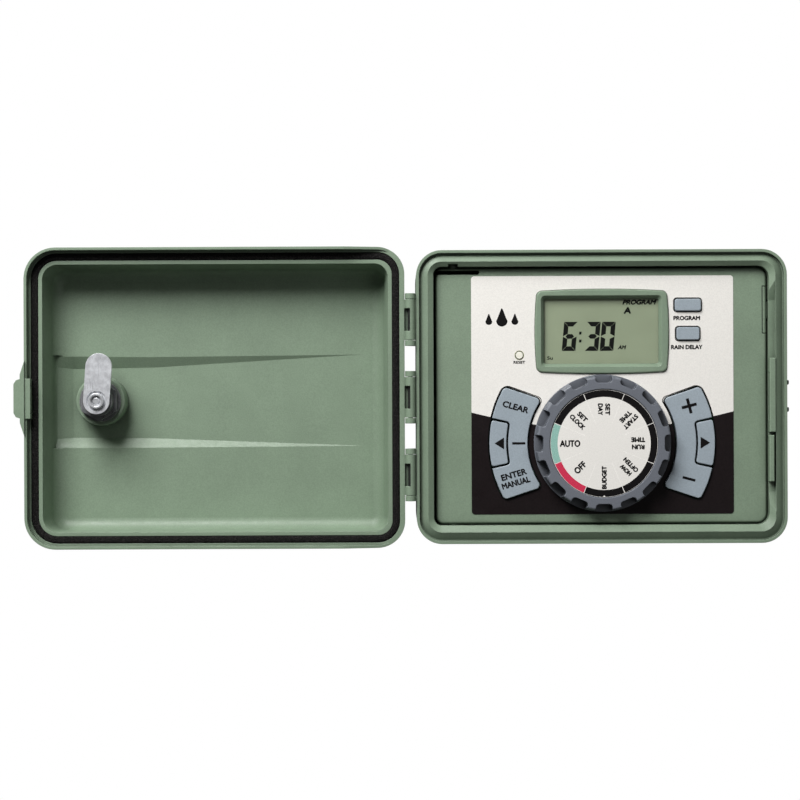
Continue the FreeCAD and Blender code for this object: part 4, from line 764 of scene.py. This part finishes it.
# ---- foam gasket ----------------------------------------------------------
def rounded_path(x0, x1, z0, z1, left_r, right_r, step):
    """Points and outward directions evenly spaced round a rounded rectangle."""
    xl, xr = x0 + left_r, x1 - right_r
    corners = (
        (xr, z1 - right_r, 0, right_r), (xl, z1 - left_r, 90, left_r),
        (xl, z0 + left_r, 180, left_r), (xr, z0 + right_r, 270, right_r),
    )
    points = []
    for i, (cx, cz, start, r) in enumerate(corners):
        arc_steps = max(2, int(r * math.pi / 2 / step))
        for k in range(arc_steps + 1):
            a = math.radians(start + 90 * k / arc_steps)
            points.append((cx + r * math.cos(a), cz + r * math.sin(a), math.cos(a), math.sin(a)))
        nx, nz, _, next_r = corners[(i + 1) % 4]
        a = math.radians(start + 90)
        b = (nx + next_r * math.cos(a), nz + next_r * math.sin(a))
        last = points[-1]
        length = math.hypot(b[0] - last[0], b[1] - last[1])
        count = int(length / step)
        for k in range(1, count):
            t = k / count
            x, z = last[0] + (b[0] - last[0]) * t, last[1] + (b[1] - last[1]) * t
            points.append((x, z, last[2], last[3]))
    return points


# the gasket's strip: width, outer corner radii on the latch and hinge sides, and spacing of its points
GASKET_W, GASKET_LATCH_R, GASKET_HINGE_R, GASKET_STEP = 4.6, 16.35, 13.75, 0.8
# half of its cross-section: across as a share of the half width, down as a share of the depth
GASKET_SHOULDER = ((1, 1), (1, 0.45), (0.92, 0.16), (0.7, 0.05), (0.35, 0.02))
# where its two ends meet: a slanted cut in the left run, its half width and how deep it dips
JOINT_SLOPE, JOINT_LOW, JOINT_HALF, JOINT_DIP = 0.8, 1.0, 0.7, 0.55


def foam_gasket(material):
    """Soft strip in the lid's channel, its face slightly swollen, rough and cut at one slanted joint."""
    low, high = box_mm("lid_gasket")
    middle = GASKET_W / 2
    half = middle - 0.03
    path = rounded_path(low.x + middle, high.x - middle, low.z + middle, high.z - middle,
                        GASKET_LATCH_R - middle, GASKET_HINGE_R - middle, GASKET_STEP)
    left_half = [(-u, v) for u, v in GASKET_SHOULDER]
    section = left_half + [(0, 0)] + list(reversed(GASKET_SHOULDER))
    depth = high.y - low.y
    vertices, faces = [], []
    for px, pz, nx, nz in path:
        for u, v in section:
            x, z = px + nx * u * half, pz + nz * u * half
            y = low.y + 0.05 + v * (depth - 0.1)
            rough = noise.noise(Vector((x, y, z)) * 1.1) + 0.6 * noise.noise(Vector((x, y, z)) * 2.7)
            if v < 0.9:
                y += 0.16 + 0.22 * rough
            joint = abs((z + JOINT_LOW) - (x - low.x) * JOINT_SLOPE)
            if x < low.x + GASKET_W + 1 and joint < JOINT_HALF and v < 0.5:
                y += JOINT_DIP * (1 - joint / JOINT_HALF)
            squeeze = 1 - 0.04 * abs(rough)
            vertices.append((px + (x - px) * squeeze, max(y, low.y), pz + (z - pz) * squeeze))
    rows, columns = len(path), len(section)
    for i in range(rows):
        j = (i + 1) % rows
        for k in range(columns):
            m = (k + 1) % columns
            faces.append([i * columns + k, i * columns + m, j * columns + m, j * columns + k])
    obj = add_mesh("foam_gasket", vertices, faces, material, "lid", smooth=True)
    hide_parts("lid_gasket")


# ---- flat cable -----------------------------------------------------------
CABLE_CORES, CABLE_BEND_R, HEADER_BEND_R, HEADER_REACH = 16, 5.0, 4.0, 7.4
# half thickness between the cores, and how much each core adds
CABLE_WEB, CABLE_CORE = 0.26, 0.2


def flat_cable(material):
    """Ribbed flat cable in a fixed loop with bends; its path follows the CAD cable's box."""
    low, high = box_mm("ribbon_cable")
    loop_x = low.x + 0.5
    socket_y, header_y = low.y + 0.5, high.y
    header_x = box_mm("terminal_header")[0].x + 4
    r, h = CABLE_BEND_R, HEADER_BEND_R
    path = [(high.x, socket_y), (loop_x + r, socket_y)]
    for k in range(1, 7):
        a = math.radians(15 * k)
        path.append((loop_x + r - r * math.sin(a), socket_y + r - r * math.cos(a)))
    back_y = header_y - HEADER_REACH
    for k in range(1, 9):
        path.append((loop_x, socket_y + r + (back_y - r - socket_y - r) * k / 8))
    for k in range(1, 7):
        a = math.radians(15 * k)
        path.append((loop_x + r - r * math.cos(a), back_y - r + r * math.sin(a)))
    path.append((header_x - h, back_y))
    for k in range(1, 5):
        a = math.radians(22.5 * k)
        path.append((header_x - h + h * math.sin(a), back_y + h - h * math.cos(a)))
    path.append((header_x, header_y))
    vertices, faces = [], []
    columns = CABLE_CORES * 4 + 1
    for i, (x, y) in enumerate(path):
        before, after = path[max(i - 1, 0)], path[min(i + 1, len(path) - 1)]
        tx, ty = after[0] - before[0], after[1] - before[1]
        length = math.hypot(tx, ty)
        nx, ny = -ty / length, tx / length
        for side in (1, -1):
            for k in range(columns):
                t = k / (columns - 1)
                thick = CABLE_WEB + CABLE_CORE * abs(math.sin(math.pi * CABLE_CORES * t))
                z = low.z + (high.z - low.z) * t
                vertices.append((x + side * nx * thick, y + side * ny * thick, z))
    ring = 2 * columns
    for i in range(len(path) - 1):
        a, b = i * ring, (i + 1) * ring
        for k in range(columns - 1):
            faces.append([a + k, a + k + 1, b + k + 1, b + k])
            back_a, back_b = a + columns + k, b + columns + k
            faces.append([back_a + 1, back_a, back_b, back_b + 1])
        faces.append([a, b, b + columns, a + columns])
        faces.append([a + columns - 1, a + ring - 1, b + ring - 1, b + columns - 1])
    for a in (0, (len(path) - 1) * ring):
        for k in range(columns - 1):
            quad = [a + k, a + k + 1, a + columns + k + 1, a + columns + k]
            faces.append(quad if a else quad[::-1])
    obj = add_mesh("flat_cable", vertices, faces, material, None, smooth=False)
    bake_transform(obj)
    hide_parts("ribbon_cable")


# ---- assigning materials to the CAD nodes ---------------------------------
def paint(names, material):
    for name in names:
        mesh = CAD[name].data
        mesh.materials.clear()
        mesh.materials.append(material)
        for polygon in mesh.polygons:
            polygon.material_index = 0


def paint_frame():
    # edge colours passed below are partly wear and partly a painted highlight on rounded edges
    green = moulded("green_body", GREEN, GREEN_EDGE, roughness=0.48)
    keys = moulded("key_grey", KEY_BLUE, (196, 206, 214), roughness=0.42, depth_mm=0.02, edge_mm=0.6)
    dial_edge = (140, 146, 158)
    dial = moulded("dial_grey", DIAL_BLUE, dial_edge, roughness=0.42, depth_mm=0.025, edge_mm=0.7, wear_and_sheen=0.6)
    black = moulded("black_plastic", (28, 28, 30), (70, 70, 72), roughness=0.45)
    cream = moulded("cream_button", (240, 238, 224), None, roughness=0.45)
    white = moulded("white_plastic", (222, 222, 218), None, roughness=0.45)
    terminal = moulded("terminal_plastic", (40, 110, 70), None, roughness=0.45)
    paint(["rear_housing", "lid_shell", "panel_front", "panel_back_cover", "battery_door"], green)
    key_names = ["left_rocker", "right_rocker", "left_arrow_key", "right_arrow_key", "program_button"]
    paint(key_names + ["rain_delay_button"], keys)
    paint(["dial_knob"], dial)
    sockets = ["lcd_holder", "battery_clip", "ribbon_socket", "terminal_header"]
    # painted shade: the latch studs are made black, a dark part standing in for shade on small catch bumps
    paint(["latch_studs", "tact_switches"] + sockets, black)
    paint(["reset_button"], cream)
    paint(["dial_rotor"], white)
    paint(["terminal_block"], terminal)
    paint(["faceplate_overlay"], faceplate_print())
    paint(["dial_label"], dial_paper())
    paint(["lock_cam"], zinc_plate("cam_zinc", 0.3))
    # painted shade: nut and plug made slightly darker, lock barrel, nut and washer much darker, shaded
    # copies of one zinc
    paint(["cam_nut", "lock_plug"], zinc_plate("nut_zinc", 0.25, 0.8))
    paint(["lock_barrel", "lock_nut", "lock_washer"], zinc_plate("lock_zinc", 0.3, 0.3))
    # painted shade: the hinge pins are made near black so the slots round them read as deep shade
    paint(["hinge_pins"], moulded("dark_pin", (34, 36, 34), (80, 84, 80), roughness=0.4))
    paint(["board_screws", "back_cover_screws", "transformer_screws", "terminal_board_screws",
           "terminal_screws", "coin_cell"], steel("plated_steel"))
    paint(["lcd_glass"], lcd_back())
    paint(["display_lens"], clear_lens())
    paint(["main_board", "terminal_board"], circuit_board())
    paint(["zebra_strips"], striped("zebra_rubber", (18, 18, 18), (70, 70, 70), 900, (1, 0, 0)))
    core = striped("laminations", (30, 30, 34), (66, 66, 70), 500, (0, 0, 1), 0.45, 0.08, 0.6)
    coil = striped("coil_tape", (190, 150, 60), (214, 176, 84), 120, (0, 0, 1), 0.4, 0.06)
    paint(["transformer_core"], core)
    paint(["transformer_coil"], coil)
    brass = Shader("contact_brass", 0.3, metallic=1.0)
    brass.colour(brass.mix(brass.noise(400), (0.5, 0.36, 0.14, 1), (0.7, 0.52, 0.22, 1)))
    brass.bump(brass.noise(1500), 0.01, 0.5)
    paint(["contact_wiper", "detent_spring"], brass.material)


def inks_used():
    return {
        "black": ink("ink_black", INK),
        "segment": ink("lcd_segment", (14, 17, 13), 0.6),
        "red": ink("ink_red", RED),
        "mint": ink("ink_mint", MINT),
        "pale": ink("ink_pale", (250, 247, 242)),
        "olive": ink("ink_olive", (172, 176, 128)),
    }


# ---- studio ---------------------------------------------------------------
def studio():
    world = bpy.data.worlds.new("studio")
    bpy.context.scene.world = world
    world.use_nodes = True
    nodes, links = world.node_tree.nodes, world.node_tree.links
    lit = nodes["Background"]
    lit.inputs["Color"].default_value = (1, 1, 1, 1)
    lit.inputs["Strength"].default_value = 0.05
    seen = nodes.new("ShaderNodeBackground")
    seen.inputs["Color"].default_value = (1, 1, 1, 1)
    seen.inputs["Strength"].default_value = 1.0
    path = nodes.new("ShaderNodeLightPath")
    mix = nodes.new("ShaderNodeMixShader")
    links.new(path.outputs["Is Camera Ray"], mix.inputs[0])
    links.new(lit.outputs[0], mix.inputs[1])
    links.new(seen.outputs[0], mix.inputs[2])
    links.new(mix.outputs[0], nodes["World Output"].inputs["Surface"])


# name, place, what it points at, size and power in watts
LIGHTS = (
    ("key_light", (-0.66, -0.98, 1.05), (-0.12, -0.08, 0.0), (0.8, 0.8), 33),
    ("fill_light", (0.7, -1.3, 0.1), (-0.12, -0.08, 0.0), (1.0, 1.0), 1.5),
    ("top_light", (-0.2, -0.35, 1.1), (-0.12, -0.08, 0.0), (1.2, 0.4), 1.5),
    ("back_light", (0.5, 1.3, 1.3), (-0.12, 0.0, 0.0), (1.0, 1.0), 26),
)


def lights():
    for name, place, target, size, watts in LIGHTS:
        light = bpy.data.lights.new(name, "AREA")
        light.shape = "RECTANGLE"
        light.size, light.size_y = size
        light.energy = watts
        obj = bpy.data.objects.new(name, light)
        bpy.context.scene.collection.objects.link(obj)
        obj.location = place
        obj.rotation_euler = (Vector(target) - Vector(place)).to_track_quat("-Z", "Y").to_euler()
        obj.visible_camera = False


FLOOR_MM, FLOOR_LEVEL_MM, FLOOR_SIDES = 800.0, -600.0, 64


def floor(material):
    vertices = []
    for i in range(FLOOR_SIDES):
        a = 2 * math.pi * i / FLOOR_SIDES
        vertices.append((FLOOR_MM * math.cos(a), FLOOR_MM * math.sin(a), FLOOR_LEVEL_MM))
    obj = add_mesh("floor", vertices, [list(range(FLOOR_SIDES))], material, None)
    obj.visible_diffuse = False
    obj.visible_glossy = False


FIELD_MM, CAMERA_DISTANCE, SENSOR_MM = 500.0, 1190.0, 36.0
CAMERA_X, CAMERA_Z, CAMERA_ROLL_DEGREES = -126.2, -1.7, 0.22


def camera():
    data = bpy.data.cameras.new("camera")
    data.sensor_width = SENSOR_MM
    data.lens = SENSOR_MM * CAMERA_DISTANCE / FIELD_MM
    obj = bpy.data.objects.new("camera", data)
    bpy.context.scene.collection.objects.link(obj)
    obj.location = (CAMERA_X * MM, (RIM_Y - CAMERA_DISTANCE) * MM, CAMERA_Z * MM)
    obj.rotation_euler = (math.pi / 2, math.radians(CAMERA_ROLL_DEGREES), 0)
    bpy.context.scene.camera = obj


def build():
    paint_frame()
    inks = inks_used()
    dial_print(inks)
    key_print(inks)
    faceplate_marks(inks)
    display_print(inks)
    foam_gasket(foam())
    flat_cable(striped("cable_grey", (150, 150, 152), (176, 176, 178), 800, (0, 0, 1), 0.45, 0.02))
    studio()
    lights()
    floor(floor_material())
    camera()
    bpy.context.scene.view_settings.view_transform = "Standard"


build()
